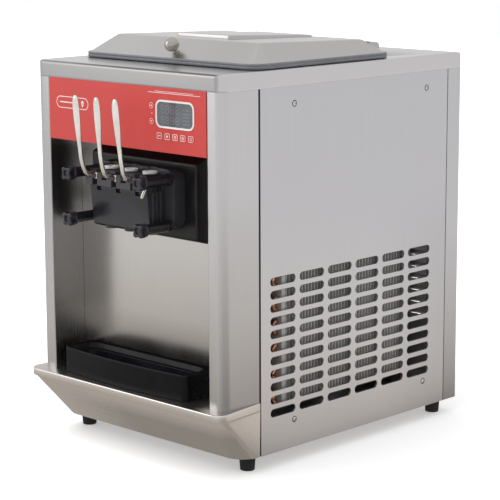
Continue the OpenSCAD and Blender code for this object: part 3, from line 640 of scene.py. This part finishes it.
# ------------------------------------------------------------------ front columns
def column(side):
    """Bent sheet: a small bend at the inner edge, a large one at the outer; side is 1 or -1."""
    inner_x, back_y, radius, sheet = 220, 94, 21, 1.5
    bend_x = HALF_WIDTH - radius
    section = [(inner_x, back_y)]
    section += arc(inner_x + 3, 3, 3, 180, 270, 5)
    section += arc(bend_x, radius, radius, 270, 360, 16)
    section += [(HALF_WIDTH, 92.2), (259.7, 93.3), (259, 93.9), (258.3, back_y)]
    section += arc(bend_x, radius, radius - sheet, 360, 270, 12)
    section += [(inner_x + 3, sheet), (inner_x + sheet, 3), (inner_x + sheet, back_y)]
    if side < 0:
        section = [(-x, y) for x, y in section][::-1]
    return loft([at_z(section, z) for z in (APRON_TOP_Z, 300, 500, COVER_BASE_Z)])


build("columns_shell", join([column(1), column(-1)]), STEEL_FRONT, "cabinet",
      28, "front_columns")

# ------------------------------------------------------------------ side panel slot lips
# (length, height, distance from the middle plane)
SLOT_LIP = [
    (70.0, 17.0, 259.9), (69.2, 16.2, 259.75), (68.7, 15.7, 259.2), (68.6, 15.6, 258.3),
    (68.6, 15.6, 254.8), (69.8, 16.8, 254.8), (69.8, 16.8, 258.3),
]


def slot_outline(y, z, length, height):
    reach = (length - height) / 2
    return (arc(y + reach, z, height / 2, -90, 90, 8)
            + arc(y - reach, z, height / 2, 90, 270, 8))


def slot_lips(side):
    parts = []
    for column_index in range(6):
        for row in range(11):
            y, z = 158.5 + column_index * 80.7, 362 - row * ROW_PITCH
            parts.append(loft([at_x(slot_outline(y, z, length, height), side * x)
                               for length, height, x in SLOT_LIP], ring=True))
    return join(parts)


for name, side in (("right", 1), ("left", -1)):
    build("slot_lips_" + name, slot_lips(side), STEEL_SIDE, "cabinet", 50)

# ------------------------------------------------------------------ rear louvre hoods
# (y, height above the slot's middle) from the top edge, out over the hood and back inside
HOOD = [
    (689, 8.4), (691.5, 8.0), (693.6, 4.5), (694.8, -1.0), (695.2, -6.5), (694.5, -6.6),
    (694.0, -1.0), (692.8, 4.0), (690.6, 7.0), (689, 7.4),
]


def hood(middle_x, middle_z):
    """Pressed hood: the outline swept across, closing onto the panel at both ends."""
    across = 19
    verts, faces = [], []
    for y, rise in HOOD:
        half = 37.2 - (y - HOOD[0][0]) * 0.25
        for i in range(across):
            u = i / 9 - 1
            verts.append(point(middle_x + half * u, y - abs(u) ** 6 * (y - 689.2) * 0.9,
                               middle_z + rise))
    starts = [i * across for i in range(len(HOOD))]
    for low, high in zip(starts, starts[1:] + starts[:1]):
        for j in range(across - 1):
            faces.append((low + j, low + j + 1, high + j + 1, high + j))
    faces.append(tuple(starts))
    faces.append(tuple(start + across - 1 for start in starts)[::-1])
    return verts, faces


build("rear_louvres",
      join([hood(i * 84, 200 + row * ROW_PITCH) for i in range(-2, 3) for row in range(10)]),
      STEEL_SIDE, "cabinet", 40)


# ------------------------------------------------------------------ condenser
def thin_fin(y, thickness=0.3):
    verts = [point(x, y + dy, z) for dy in (0, thickness)
             for x, z in ((209, 121), (240, 121), (240, 393), (209, 393))]
    faces = [(0, 1, 2, 3), (4, 7, 6, 5), (0, 4, 5, 1), (1, 5, 6, 2), (2, 6, 7, 3), (3, 7, 4, 0)]
    return verts, faces


def condenser():
    """Fins and tubes in a frame, behind the right side panel's slots."""
    left, right, front, back, bottom, top = 203, 249, 166, 532.4, 116, 398
    parts = []
    for i in range(41):
        y = 173 + i * 8.8
        parts.append(rounded_box((209, 246), (y, y + 2.6), (120, 394), 0.5, 2))
    parts += [thin_fin(171.2 + i * 2.93) for i in range(123)]
    for y in (front, 530):
        parts.append(rounded_box((left, right), (y, y + 2.4), (bottom, top), 0.8, 2))
    parts.append(rounded_box((246.6, right), (167, 177.5), (bottom, top), 0.8, 2))
    for z in (bottom, top - 3.5):
        parts.append(rounded_box((left, right), (front, back), (z, z + 3.5), 1.0, 2))
    parts.append(rounded_box((205, 208), (168, 531), (118, 396), 0.6, 2))
    for i in range(12):
        for x in (222, 236):
            parts.append(lathe([(4.55, 0), (4.55, 367)], point(x, front, 118 + i * 22.86),
                               (0, 1, 0), 12))
    return join(parts)


build("condenser_fins", condenser(), FIN, "cabinet", 40, "condenser")


# ------------------------------------------------------------------ painted seam and screw shadows
def seam_and_screw_shadows():
    """Painted shadow: dark strips in the side panel seams, and a dark ring under each screw head.
    """
    ring = [(4.6, -0.3), (4.6, 0.28), (5.9, 0.24), (6.3, 0.02), (6.3, -0.3)]
    parts = []
    for side in (1, -1):
        xs = sorted((side * 257.2, side * 258.7))
        for ys in ((93.2, 98.4), (646.8, 649.3)):
            parts.append(rounded_box(xs, ys, (34, COVER_BASE_Z - 1), 0.3, 2))
        for y in (190, 580):
            for z in (85, 692):
                parts.append(lathe(ring, point(side * HALF_WIDTH, y, z), (side, 0, 0), 32,
                                   ring=True))
    return join(parts)


build("seam_and_screw_shadows", seam_and_screw_shadows(), RUBBER, "cabinet", 40)


# ------------------------------------------------------------------ hopper lid
def top_z(y):
    """Height of the lid's flat top, falling towards the back."""
    return 803 - (y - 153) * 0.03212


def pad_z(y):
    """Height of the raised pad on the top."""
    return 809.8 - (y - 190) * 0.04816


# (growth of the outline, corner radii, surface, drop below it); outside, then underside
LID_PAD = [
    (-5.2, (4, 9, 6, 4), pad_z, 0), (-3.4, (4.6, 11, 7, 4.6), pad_z, 0.05),
    (-1.7, (5.2, 12.4, 7.6, 5.2), pad_z, 0.45), (-0.5, (5.8, 13.6, 8.4, 5.8), pad_z, 1.4),
    (0, (6, 14, 9, 6), pad_z, 2.6), (0.3, (6.2, 14.2, 9.2, 6.2), top_z, -1.0),
    (1.1, (7, 15, 10, 7), top_z, -0.25), (2.6, (8, 16, 11, 8), top_z, 0),
]
LID_PAD_UNDER = [
    (-1, (5, 13, 8, 5), top_z, 1.6), (-2, (5, 12, 7, 5), pad_z, 1.9),
    (-6, (4, 9, 6, 4), pad_z, 1.7),
]
# (inset, drop below the top)
LID_TOP_EDGE = [(4.2, 0), (2.2, 0.08), (0.9, 0.45)]
# (inset, z)
LID_RIM = [(0.1, 768.1), (0, 767.7), (0, 766.9), (0.5, 766.5), (8, 766.5), (9.4, 767.2)]
LID_SLOPE_END_Z = 768.2


def lid_rect(inset, radius):
    """Outline of the top, inset from its edge."""
    return rounded_rect(LID_X - 196 + inset, 153 + inset, LID_X + 196 - inset, 449.85 - inset,
                        radius, 12)


def rim_rect(inset):
    """Outline of the lid's foot; a negative inset lies outside it."""
    front, back = 36 - inset, 16 - inset
    return rounded_rect(LID_X - 242 + inset, 100 + inset, LID_X + 238 - inset, 476 - inset,
                        [front, front, back, back], 12)


def on_surface(points, surface, drop):
    return [point(x, y, surface(y) - drop) for x, y in points]


def pad_loop(growth, radii, surface, drop):
    return on_surface(rounded_rect(-62 - growth, 196 - growth, 92 + growth, 428 + growth,
                                   radii, 12), surface, drop)


def lid_dome():
    loops = [pad_loop(*row) for row in LID_PAD]
    loops += [on_surface(lid_rect(inset, 8 - inset * 0.7), top_z, drop)
              for inset, drop in LID_TOP_EDGE]
    for i in range(11):
        part = 0.045 + (0.985 - 0.045) * i / 10.0
        loops.append([point(x + (low_x - x) * part, y + (low_y - y) * part,
                            top_z(y) + (LID_SLOPE_END_Z - top_z(y)) * part)
                      for (x, y), (low_x, low_y) in zip(lid_rect(0, 8), rim_rect(0))])
    loops += [at_z(rim_rect(inset), z) for inset, z in LID_RIM]
    loops.append(on_surface(lid_rect(3, 6), top_z, 2.4))
    loops += [pad_loop(*row) for row in LID_PAD_UNDER]
    return loft(loops)


def lid_ear(side):
    """Round-ended ear at the back of the lid."""
    profile = [(453, 788.0), (460, 780.6), (467, 774.0), (470.4, 770.4), (472.6, 769.7),
               (475, 769.6)]
    profile += arc(478, 778, 8.9, -78, 102, 18)
    profile += [(470, 787.8), (460, 789.4), (453.4, 789.8)]
    eased = [(y + (474 - y) * 0.03, z + (779 - z) * 0.05) for y, z in profile]
    x0, x1 = sorted((LID_X + 196 * side, LID_X + 206 * side))
    return loft([at_x(eased, x0), at_x(profile, x0 + 0.8), at_x(profile, x1 - 0.8),
                 at_x(eased, x1)])


build("lid_shell", join([lid_dome(), lid_ear(1), lid_ear(-1)]), STEEL_LID, "lid",
      26, "hopper_lid")

TRIM_OVERHANG = 4      # how far the trim stands out past the lid's foot
# (inset from the trim's outer edge, z) round its section
TRIM_SECTION = [
    (0.9, 758.5), (0.2, 759.6), (0, 761.5), (0, 763), (0.7, 763.6), (0.9, 764.2), (0.2, 764.9),
    (0, 766), (0.15, 767.8), (0.9, 768.8), (2, 769.1), (3.3, 768.9), (3.9, 768.3), (4, 766.4),
    (12, 766.4), (14, 765.8), (14, 759.5), (13, 758.3), (8, 758), (2, 758),
]
build("lid_trim_seal",
      loft([at_z(rim_rect(inset - TRIM_OVERHANG), z) for inset, z in TRIM_SECTION], ring=True),
      TRIM, "lid", 60, "lid_trim")


def lid_ball():
    """Ball handle on a stepped foot, square to the lid's front slope."""
    tilt = math.radians(33.29)
    profile = [(0.1, 0), (8, 0), (8.3, 0.6), (8, 1.8), (5.6, 2.6), (4.9, 3.4), (4.9, 4.4),
               (6.0, 5.2)]
    profile += arc(0, 18.5, 14.5, -62, 90, 16)
    return lathe(profile, point(20, 115.5, 778.39), (0, -math.sin(tilt), math.cos(tilt)), 48)


build("lid_ball", lid_ball(), BALL, "lid", 50, "lid_handle")

# ------------------------------------------------------------------ levers
# (y, z, width, thickness, squareness of the section) from the pivot up to the grip's tip
LEVER_STATIONS = [
    (-24, 548, 10, 13, 3), (-30, 549.2, 10, 11, 3), (-38, 550.6, 10, 8.6, 3),
    (-45.5, 553.2, 9.8, 7.6, 3), (-51.5, 557.6, 9.6, 7.0, 2.8), (-56, 563.8, 9.4, 6.8, 2.6),
    (-59.6, 573, 9.2, 6.6, 2.4), (-63.4, 590, 9.2, 6.5, 2.3), (-65.8, 610, 9.6, 6.4, 2.2),
    (-67.2, 622, 11, 6.4, 2.2), (-68.8, 640, 14.2, 6.4, 2.2), (-70.2, 656, 16.2, 6.3, 2.2),
    (-71.6, 672, 17.4, 6.2, 2.2), (-72.8, 686, 17.2, 6.0, 2.2), (-73.6, 695, 15.6, 5.6, 2.1),
    (-74.1, 701, 12.4, 4.8, 2.0), (-74.4, 704.6, 7.8, 3.4, 2.0), (-74.5, 705.8, 3, 1.6, 2.0),
]
# (name, x, lean at mid height, lean at the top)
LEVERS = [("left", -LEVER_PITCH, 0, -0.8), ("center", 0, 2.5, 4.5), ("right", LEVER_PITCH, 4.5, 2)]


def catmull_rom(points, steps):
    path = []
    padded = [points[0]] + points + [points[-1]]
    for a, b, c, d in zip(padded, padded[1:], padded[2:], padded[3:]):
        for k in range(steps):
            t = k / steps
            path.append(0.5 * ((2 * b) + (c - a) * t + (2 * a - 5 * b + 4 * c - d) * t * t
                               + (3 * b - a - 3 * c + d) * t ** 3))
    return path + [points[-1]]


def lever_stem(pivot_x, lean_mid, lean_top):
    """Bent stem and grip: superellipse sections along a smooth path."""
    path = catmull_rom([Vector((y, z, 0)) for y, z, *_ in LEVER_STATIONS], 4)
    sizes = catmull_rom([Vector(row[2:]) for row in LEVER_STATIONS], 4)
    sides = 20
    loops = []
    for i, (middle, size) in enumerate(zip(path, sizes)):
        before, after = path[max(i - 1, 0)], path[min(i + 1, len(path) - 1)]
        along = (after - before).normalized()
        normal = Vector((-along.y, along.x, 0))
        power = 2 / size.z
        z = middle.y
        # the stem and grip lean a little to one side
        if z < 600:
            lean = lean_mid * min(1, max(0, (z - 549) / 16))
        else:
            lean = lean_mid + (lean_top - lean_mid) * min(1, (z - 600) / 80)
        loop = []
        for k in range(sides):
            angle = 2 * math.pi * k / sides
            cosine, sine = math.cos(angle), math.sin(angle)
            across = math.copysign(abs(cosine) ** power, cosine) * size.x / 2
            out = math.copysign(abs(sine) ** power, sine) * size.y / 2
            place = middle + normal * out
            loop.append(point(pivot_x + lean + across, place.x, place.y))
        loops.append(loop)
    # starts at the hub's face, so the pivot bore stays open
    return loft(loops[5:])


def lever(x, lean_mid, lean_top):
    hub = [(4.06, -6), (7.1, -6), (7.5, -5.4), (7.5, 5.4), (7.1, 6), (4.06, 6)]
    tip = [(0.1, -4), (3.6, -4), (4, -3.5), (4, 3.5), (3.6, 4), (0.1, 4)]
    return join([
        lever_stem(x, lean_mid, lean_top),
        lathe(hub, point(x, -23.5, LEVER_PIVOT_Z), (1, 0, 0), 36, ring=True),
        rounded_box((x - 3.9, x + 3.9), (-18.5, 17),
                    (LEVER_PIVOT_Z - 2.4, LEVER_PIVOT_Z + 2.4), 1.2, 3),
        lathe(tip, point(x, 16.5, LEVER_PIVOT_Z), (1, 0, 0), 24),
    ])


for name, *place in LEVERS:
    build("lever_" + name + "_shape", lever(*place), LEVER, "lever_" + name + "_body",
          55, "lever_" + name)

# ------------------------------------------------------------------ hand screws
# (radius, distance behind the grip's face)
KNOB_BARREL = [
    (4.1, 13.5), (12.2, 13.5), (12.9, 14.4), (12.9, 19.6), (12.2, 20.6), (10.3, 22.2),
    (10, 24), (10, 74), (10.4, 77), (11.4, 78.4), (11.4, 83.2), (11, 84), (4.1, 84),
]
# (share of the radius, distance behind the face); a round recess, then the lobed grip
KNOB_RECESS = [(0.44, 3.0), (0.46, 1.2), (0.50, 0.5), (0.56, 0.15)]
KNOB_GRIP = [
    (0.80, 0.1), (0.90, 0.4), (0.97, 1.3), (1.0, 2.8), (1.0, 11.0), (0.97, 12.6),
    (0.9, 13.6), (0.8, 14.0),
]


def hand_screw(x, z):
    origin = point(x, -64, z)
    angles = [2 * math.pi * i / 64 for i in range(64)]

    def loop(radii, depth):
        return [origin + Vector((r * math.cos(a) * MM, depth * MM, r * math.sin(a) * MM))
                for r, a in zip(radii, angles)]

    lobes = [12.9 + 2.6 * math.cos(4 * (a - math.pi / 4)) for a in angles]
    loops = [loop([13.0 * share] * 64, depth) for share, depth in KNOB_RECESS]
    loops += [loop([r * share for r in lobes], depth) for share, depth in KNOB_GRIP]
    return join([lathe(KNOB_BARREL, origin, (0, 1, 0), 40, ring=True), loft(loops)])


for row, z in (("upper", 552), ("lower", 464)):
    for side, x in (("left", -100), ("right", 100)):
        name = "knob_" + row + "_" + side
        build(name + "_grip", hand_screw(x, z), BLACK, name + "_body", 45,
              name)

# ------------------------------------------------------------------ housing behind the head
# (side inset, bottom z, top z, corner radius, y) from the back to the front face
HOUSING_STATIONS = [
    (0, 426, 593, 3, 79), (0, 427.6, 590.6, 3.6, 73.5), (0, 433.4, 582.6, 4.4, 54.4),
    (0.4, 434.4, 581.4, 4.6, 52.4), (1.4, 435.8, 580, 4.6, 51.0), (3.2, 437.8, 578, 4.4, 50.2),
    (5.6, 440, 575.6, 4, 50),
]
build("housing_shell",
      loft([at_y(rounded_rect(-154 + inset, bottom, 141 - inset, top, radius, 6), y)
            for inset, bottom, top, radius, y in HOUSING_STATIONS]),
      HOUSING, "cabinet", 40, "head_housing")

# ------------------------------------------------------------------ drip tray
# (inset, z) up the outside to the rim
TRAY_OUTSIDE = [
    (2, APRON_TOP_Z), (0.8, 136.4), (0.2, 137.6), (0, 140), (0, 183), (0, 185), (0.35, 186.4),
    (1.0, 187.2), (1.5, 187.5),
]
# (left x, right x, front y, back y, corner radius, front bow, z) down the inside
TRAY_INSIDE = [
    (-181.6, 150.6, 0.2, 68.6, 24.6, 8.7, 187.5), (-180.6, 149.6, 1.0, 67.6, 24.2, 8.5, 187.1),
    (-180, 149, 1.5, 67, 24, 8.5, 186.2), (-179.6, 148.6, 1.9, 66.6, 23.8, 8.5, 177.2),
    (-179, 148, 2.4, 66, 23.4, 8.4, 176.3), (-177.6, 146.6, 2.9, 64.8, 22.6, 8.1, 176),
    (-173.6, 142.6, 3.5, 61.4, 20.8, 7.3, 176), (-172.4, 141.4, 3.8, 60.4, 20.4, 7.1, 175.5),
    (-172, 141, 4.2, 60, 20, 7, 174.4), (-170.5, 139.5, 5.5, 58.5, 19, 6.6, 144),
    (-168, 137, 8, 56, 17, 6, 141), (-163, 132, 12, 52, 15, 5, 140),
]


def tray_loop(left, right, front, back, radius, bow, z):
    """Rounded rectangle whose front edge bows forward."""
    points = [(left + radius + (right - left - 2 * radius) * i / 30,
               front - bow * (1 - (i / 15 - 1) ** 2)) for i in range(1, 30)]
    for x, y, start in ((right - radius, front + radius, -90), (right - radius, back - radius, 0),
                        (left + radius, back - radius, 90), (left + radius, front + radius, 180)):
        points += arc(x, y, radius, start, start + 90, 9)
    return at_z(points, z)


def drip_tray():
    outside = [(-193 + inset, 157 - inset, -1 + inset, 78.5 - inset, 12 - inset * 0.6, 9, z)
               for inset, z in TRAY_OUTSIDE]
    return loft([tray_loop(*row) for row in outside + TRAY_INSIDE])


build("drip_tray_shell", drip_tray(), TRAY, "tray", 50, "drip_tray")

# ------------------------------------------------------------------ rubber feet
# (radius, z)
FOOT = [
    (0.1, 0), (12.4, 0), (13.6, 0.5), (14.1, 1.6), (14.3, 5), (15.8, 24.6), (16, 26),
    (16, 29.2), (15.6, 30), (0.1, 30),
]
build("feet_rubber",
      join([lathe(FOOT, point(x, y, 0), (0, 0, 1), 48) for x in (-228, 228) for y in (93, 652)]),
      RUBBER, "cabinet", 40, "feet")

# ------------------------------------------------------------------ print on the panel and keys
PRINT_THICKNESS = 0.12
PANEL_Y = -0.06        # front faces of the print
KEY_Y = -1.06
SEGMENT_Y = -0.05
ARROW_X = 75.5         # column of the up and down keys
KEY_Z = 635.5          # row of the five other keys


def solid_mark(outline, y):
    return loft([at_y(outline, y), at_y(outline, y + PRINT_THICKNESS)])


def line_mark(outer, inner, y):
    """Print between an outer and an inner outline."""
    back = y + PRINT_THICKNESS
    return loft([at_y(outer, y), at_y(outer, back), at_y(inner, back), at_y(inner, y)],
                ring=True)


def bar(x0, x1, z0, z1, y, radius=0.4):
    radius = min(radius, (x1 - x0) / 2 - 0.01, (z1 - z0) / 2 - 0.01)
    return solid_mark(rounded_rect(x0, z0, x1, z1, radius, 3), y)


def panel_marks():
    """Two rules, a pill outline holding a bar and a cone, and a dot between two keys."""
    scoop = [(-121 + 3.9 * math.cos(i * math.pi / 12), 679 + 5.4 * math.sin(i * math.pi / 12))
             for i in range(13)]
    return join([
        bar(66, 204, 714.6, 715.6, PANEL_Y),
        bar(84, 186, 717.4, 718.2, PANEL_Y),
        line_mark(rounded_rect(-198, 667, -104, 690, 11.4),
                  rounded_rect(-196.6, 668.4, -105.4, 688.6, 10), PANEL_Y),
        bar(-188, -136, 677.6, 679.6, PANEL_Y),
        solid_mark([(-121, 671), (-117.6, 677.6), (-124.4, 677.6)], PANEL_Y),
        solid_mark(scoop, PANEL_Y),
        solid_mark(circle(ARROW_X, 675.8, 1.2, 16), PANEL_Y),
    ])


build("panel_print", panel_marks(), PRINT, "cabinet", 40)


def key_rect(x, half_width, half_height, radius):
    return rounded_rect(x - half_width, KEY_Z - half_height, x + half_width,
                        KEY_Z + half_height, radius, 5)


def key_bars(x, bars):
    """Bars given as (left, right, bottom, top) from the key's middle."""
    return [bar(x + left, x + right, KEY_Z + bottom, KEY_Z + top, KEY_Y)
            for left, right, bottom, top in bars]


def dash(x):
    return key_bars(x, [(-3.4, 3.4, -0.7, 0.7)])


def triangle(x):
    return [solid_mark([(x - 2.2, KEY_Z - 2.8), (x + 2.8, KEY_Z), (x - 2.2, KEY_Z + 2.8)],
                       KEY_Y)]


def three_bars(x):
    return key_bars(x, [(-3.2, 3.2, z - 0.45, z + 0.45) for z in (-2.2, 0, 2.2)])


def ring_and_dot(x):
    return [line_mark(circle(x, KEY_Z, 3.1), circle(x, KEY_Z, 2.2), KEY_Y),
            solid_mark(circle(x, KEY_Z, 0.9, 12), KEY_Y)]


def square(x):
    return key_bars(x, [(-2.6, 2.6, -2.6, -1.7), (-2.6, 2.6, 1.7, 2.6),
                        (-2.6, -1.7, -2.6, 2.6), (1.7, 2.6, -2.6, 2.6)])


def arrow(z, way):
    """Ringed arrowhead; way is 1 for up, -1 for down."""
    head = [(ARROW_X - 2.3, z - 1.4 * way), (ARROW_X + 2.3, z - 1.4 * way),
            (ARROW_X, z + 2.2 * way)]
    return [line_mark(circle(ARROW_X, z, 5.6), circle(ARROW_X, z, 4.9), KEY_Y),
            solid_mark(head[::way], KEY_Y)]


def build_key_mark(name, parts):
    build("mark_" + name, join(parts), PRINT, "key_" + name + "_body", 40)


for name, x, symbol in (("off", 96.5, dash), ("auto", 117.5, triangle),
                        ("wash", 138.5, three_bars), ("cool", 159, ring_and_dot),
                        ("reset", 180, square)):
    border = line_mark(key_rect(x, 6.8, 5.8, 2.6), key_rect(x, 5.9, 4.9, 1.9), KEY_Y)
    build_key_mark(name, [border] + symbol(x))
build_key_mark("up", arrow(690.5, 1))
build_key_mark("down", arrow(661, -1))


# ------------------------------------------------------------------ unlit display segments
def digit(x, z, height, width=9, line=1.3):
    """Seven bars of one digit; (x, z) is its lower left corner."""
    right, top, middle = x + width, z + height, z + height / 2
    lower = (z + line, middle - line / 2)
    upper = (middle + line / 2, top - line)
    bars = [(x + line, right - line, *zs) for zs in ((top - line, top), upper[:0] + (
        middle - line / 2, middle + line / 2), (z, z + line))]
    bars += [(*xs, *zs) for zs in (lower, upper) for xs in ((x, x + line), (right - line, right))]
    return [bar(*limits, SEGMENT_Y, radius=0.3) for limits in bars]


def display_segments():
    """Two rows of four digits, and a stack of five bars to their right."""
    parts = []
    for z, height in ((678, 15), (659, 13)):
        for i in range(4):
            parts += digit(100 + i * 13, z, height)
    for i in range(5):
        parts.append(bar(158, 176, 660 + i * 6.4, 662.4 + i * 6.4, SEGMENT_Y, radius=0.5))
    return join(parts)


build("display_segments", display_segments(), SEGMENT, "cabinet", 40)

# ------------------------------------------------------------------ floor
FLOOR_HALF = 9.0
FLOOR_Z = -0.0004
GLOW_REACH = 6.0       # distance at the end of the colour ramp
# (distance from the middle, colour of the floor as the machine mirrors it); a painted glow, with
# painted shadow near the machine and painted light further out
FLOOR_GLOW = [
    (0.55, (0.40, 0.37, 0.34)), (0.8, (0.47, 0.44, 0.405)), (1.25, (0.63, 0.60, 0.565)),
    (2.3, (0.85, 0.84, 0.84)), (4.0, (0.90, 0.90, 0.92)), (6.0, (0.88, 0.88, 0.905)),
]


def floor_material():
    """Pale and bright to the camera; to other rays a glow of painted light and shadow, warmer and
    darker near the machine.
    """
    mat = Surface("floor_pale")
    cloud = mat.noise(0.8, detail=2.0)
    mat.set("Base Color", mat.mix(cloud, (0.86, 0.86, 0.86), (0.88, 0.88, 0.88)))
    mat.set("Roughness", 0.7)
    mat.set("Specular IOR Level", 0.1)
    place = mat.add("TexCoord").outputs["Object"]
    distance = mat.add("VectorMath", {0: place}, operation="LENGTH").outputs["Value"]
    mat.set("Emission Color", (1, 1, 1))
    mat.set("Emission Strength", mat.remap(distance, over=(0.55, 1.7), to=(0.34, 1.0)))

    glow = mat.add("ValToRGB", {0: mat.remap(distance, over=(0.0, GLOW_REACH))})
    stops = glow.color_ramp.elements
    while len(stops) < len(FLOOR_GLOW):
        stops.new(0.5)
    for stop, (reach, color) in zip(stops, FLOOR_GLOW):
        stop.position = reach / GLOW_REACH
        stop.color = (*color, 1)
    # painted light: a stronger glow to the right of the machine, fading with distance
    x, y, _ = mat.add("SeparateXYZ", {0: place}).outputs
    right = mat.multiply(mat.remap(x, over=(0.28, 0.40)), mat.remap(y, over=(-0.30, 0.0)))
    lift = mat.multiply(right, mat.remap(distance, over=(0.7, 2.3), to=(1.0, 0.0)))
    warm = mat.add("Emission", {"Color": glow.outputs[0],
                                "Strength": mat.remap(lift, to=(1.0, 1.95))})
    mat.by_camera(others=warm.outputs[0], camera=mat.shader.outputs[0])
    return mat.owner


def build_floor():
    material = floor_material()
    mesh = bpy.data.meshes.new("floor")
    corners = [(-1, -1), (1, -1), (1, 1), (-1, 1)]
    mesh.from_pydata([(x * FLOOR_HALF, y * FLOOR_HALF, FLOOR_Z) for x, y in corners],
                     [], [(0, 1, 2, 3)])
    obj = bpy.data.objects.new("floor", mesh)
    SCENE.collection.objects.link(obj)
    mesh.materials.append(material)


build_floor()


# ------------------------------------------------------------------ lights and world
def area_light(name, location, target, size, power, color=(1, 1, 1), mirrored=False):
    """Rectangular light aimed at target; mirrored lets glossy surfaces reflect it."""
    light = bpy.data.lights.new(name, "AREA")
    light.energy = power
    light.color = color
    light.shape = "RECTANGLE"
    light.size, light.size_y = size
    obj = bpy.data.objects.new(name, light)
    SCENE.collection.objects.link(obj)
    obj.location = location
    obj.rotation_mode = "QUATERNION"
    obj.rotation_quaternion = (Vector(target) - Vector(location)).to_track_quat("-Z", "Y")
    obj.visible_glossy = mirrored


area_light("key_top", location=(-0.7, -0.9, 3.0), target=(0, 0, 0.3), size=(2.4, 2.4), power=46)
area_light("front_left", location=(-2.2, -2.6, 1.7), target=(0, -0.1, 0.4), size=(1.6, 2.4),
           power=18, color=(1.0, 0.99, 0.97), mirrored=True)
area_light("right_soft", location=(3.4, 0.8, 1.6), target=(0, 0.1, 0.4), size=(2.2, 2.2),
           power=4, color=(0.97, 0.985, 1.0))


def studio_world():
    """White to the camera; a soft grey gradient by height to all other rays."""
    world = Graph(bpy.data.worlds.new("studio"))
    SCENE.world = world.owner
    direction = world.add("TexCoord").outputs["Generated"]
    height = world.add("SeparateXYZ", {0: direction}).outputs["Z"]
    sky = world.add("ValToRGB", {0: world.remap(height, over=(-1, 1))})
    stops = sky.color_ramp.elements
    stops[0].position = 0.42
    stops[0].color = (0.55, 0.54, 0.53, 1)
    stops[1].position = 0.90
    stops[1].color = (0.93, 0.93, 0.93, 1)
    for position, grey in ((0.50, 0.86), (0.60, 0.88), (0.75, 0.80)):
        stops.new(position).color = (grey, grey * 0.995, grey, 1)
    gradient = world.add("Background", {"Color": sky.outputs[0], "Strength": 1.0})
    white = world.add("Background", {"Color": (1, 1, 1), "Strength": 1.0})
    world.by_camera(others=gradient.outputs[0], camera=white.outputs[0])


studio_world()
SCENE.view_settings.view_transform = "Standard"
SCENE.view_settings.look = "None"
SCENE.view_settings.exposure = 0.0


# ------------------------------------------------------------------ camera
def build_camera(location, yaw, pitch, roll, lens):
    """Looks along +y turned left by yaw and down by pitch, in degrees; lens in mm."""
    data = bpy.data.cameras.new("camera")
    camera = bpy.data.objects.new("camera", data)
    SCENE.collection.objects.link(camera)
    data.sensor_width = 36.0
    data.lens = lens
    data.clip_start = 0.05
    data.clip_end = 60
    yaw, pitch, roll = math.radians(yaw), math.radians(pitch), math.radians(roll)
    forward = Vector((-math.sin(yaw) * math.cos(pitch), math.cos(yaw) * math.cos(pitch),
                      -math.sin(pitch)))
    right = Vector((math.cos(yaw), math.sin(yaw), 0))
    up = right.cross(forward)
    rolled_right = right * math.cos(roll) + up * math.sin(roll)
    rolled_up = -right * math.sin(roll) + up * math.cos(roll)
    matrix = Matrix((rolled_right, rolled_up, -forward)).transposed().to_4x4()
    matrix.translation = location
    camera.matrix_world = matrix
    SCENE.camera = camera


build_camera(point(2554.83, -2287.61, 1058.7), yaw=44.23, pitch=10.79, roll=-0.25,
             lens=131.35392)

bpy.context.view_layer.update()
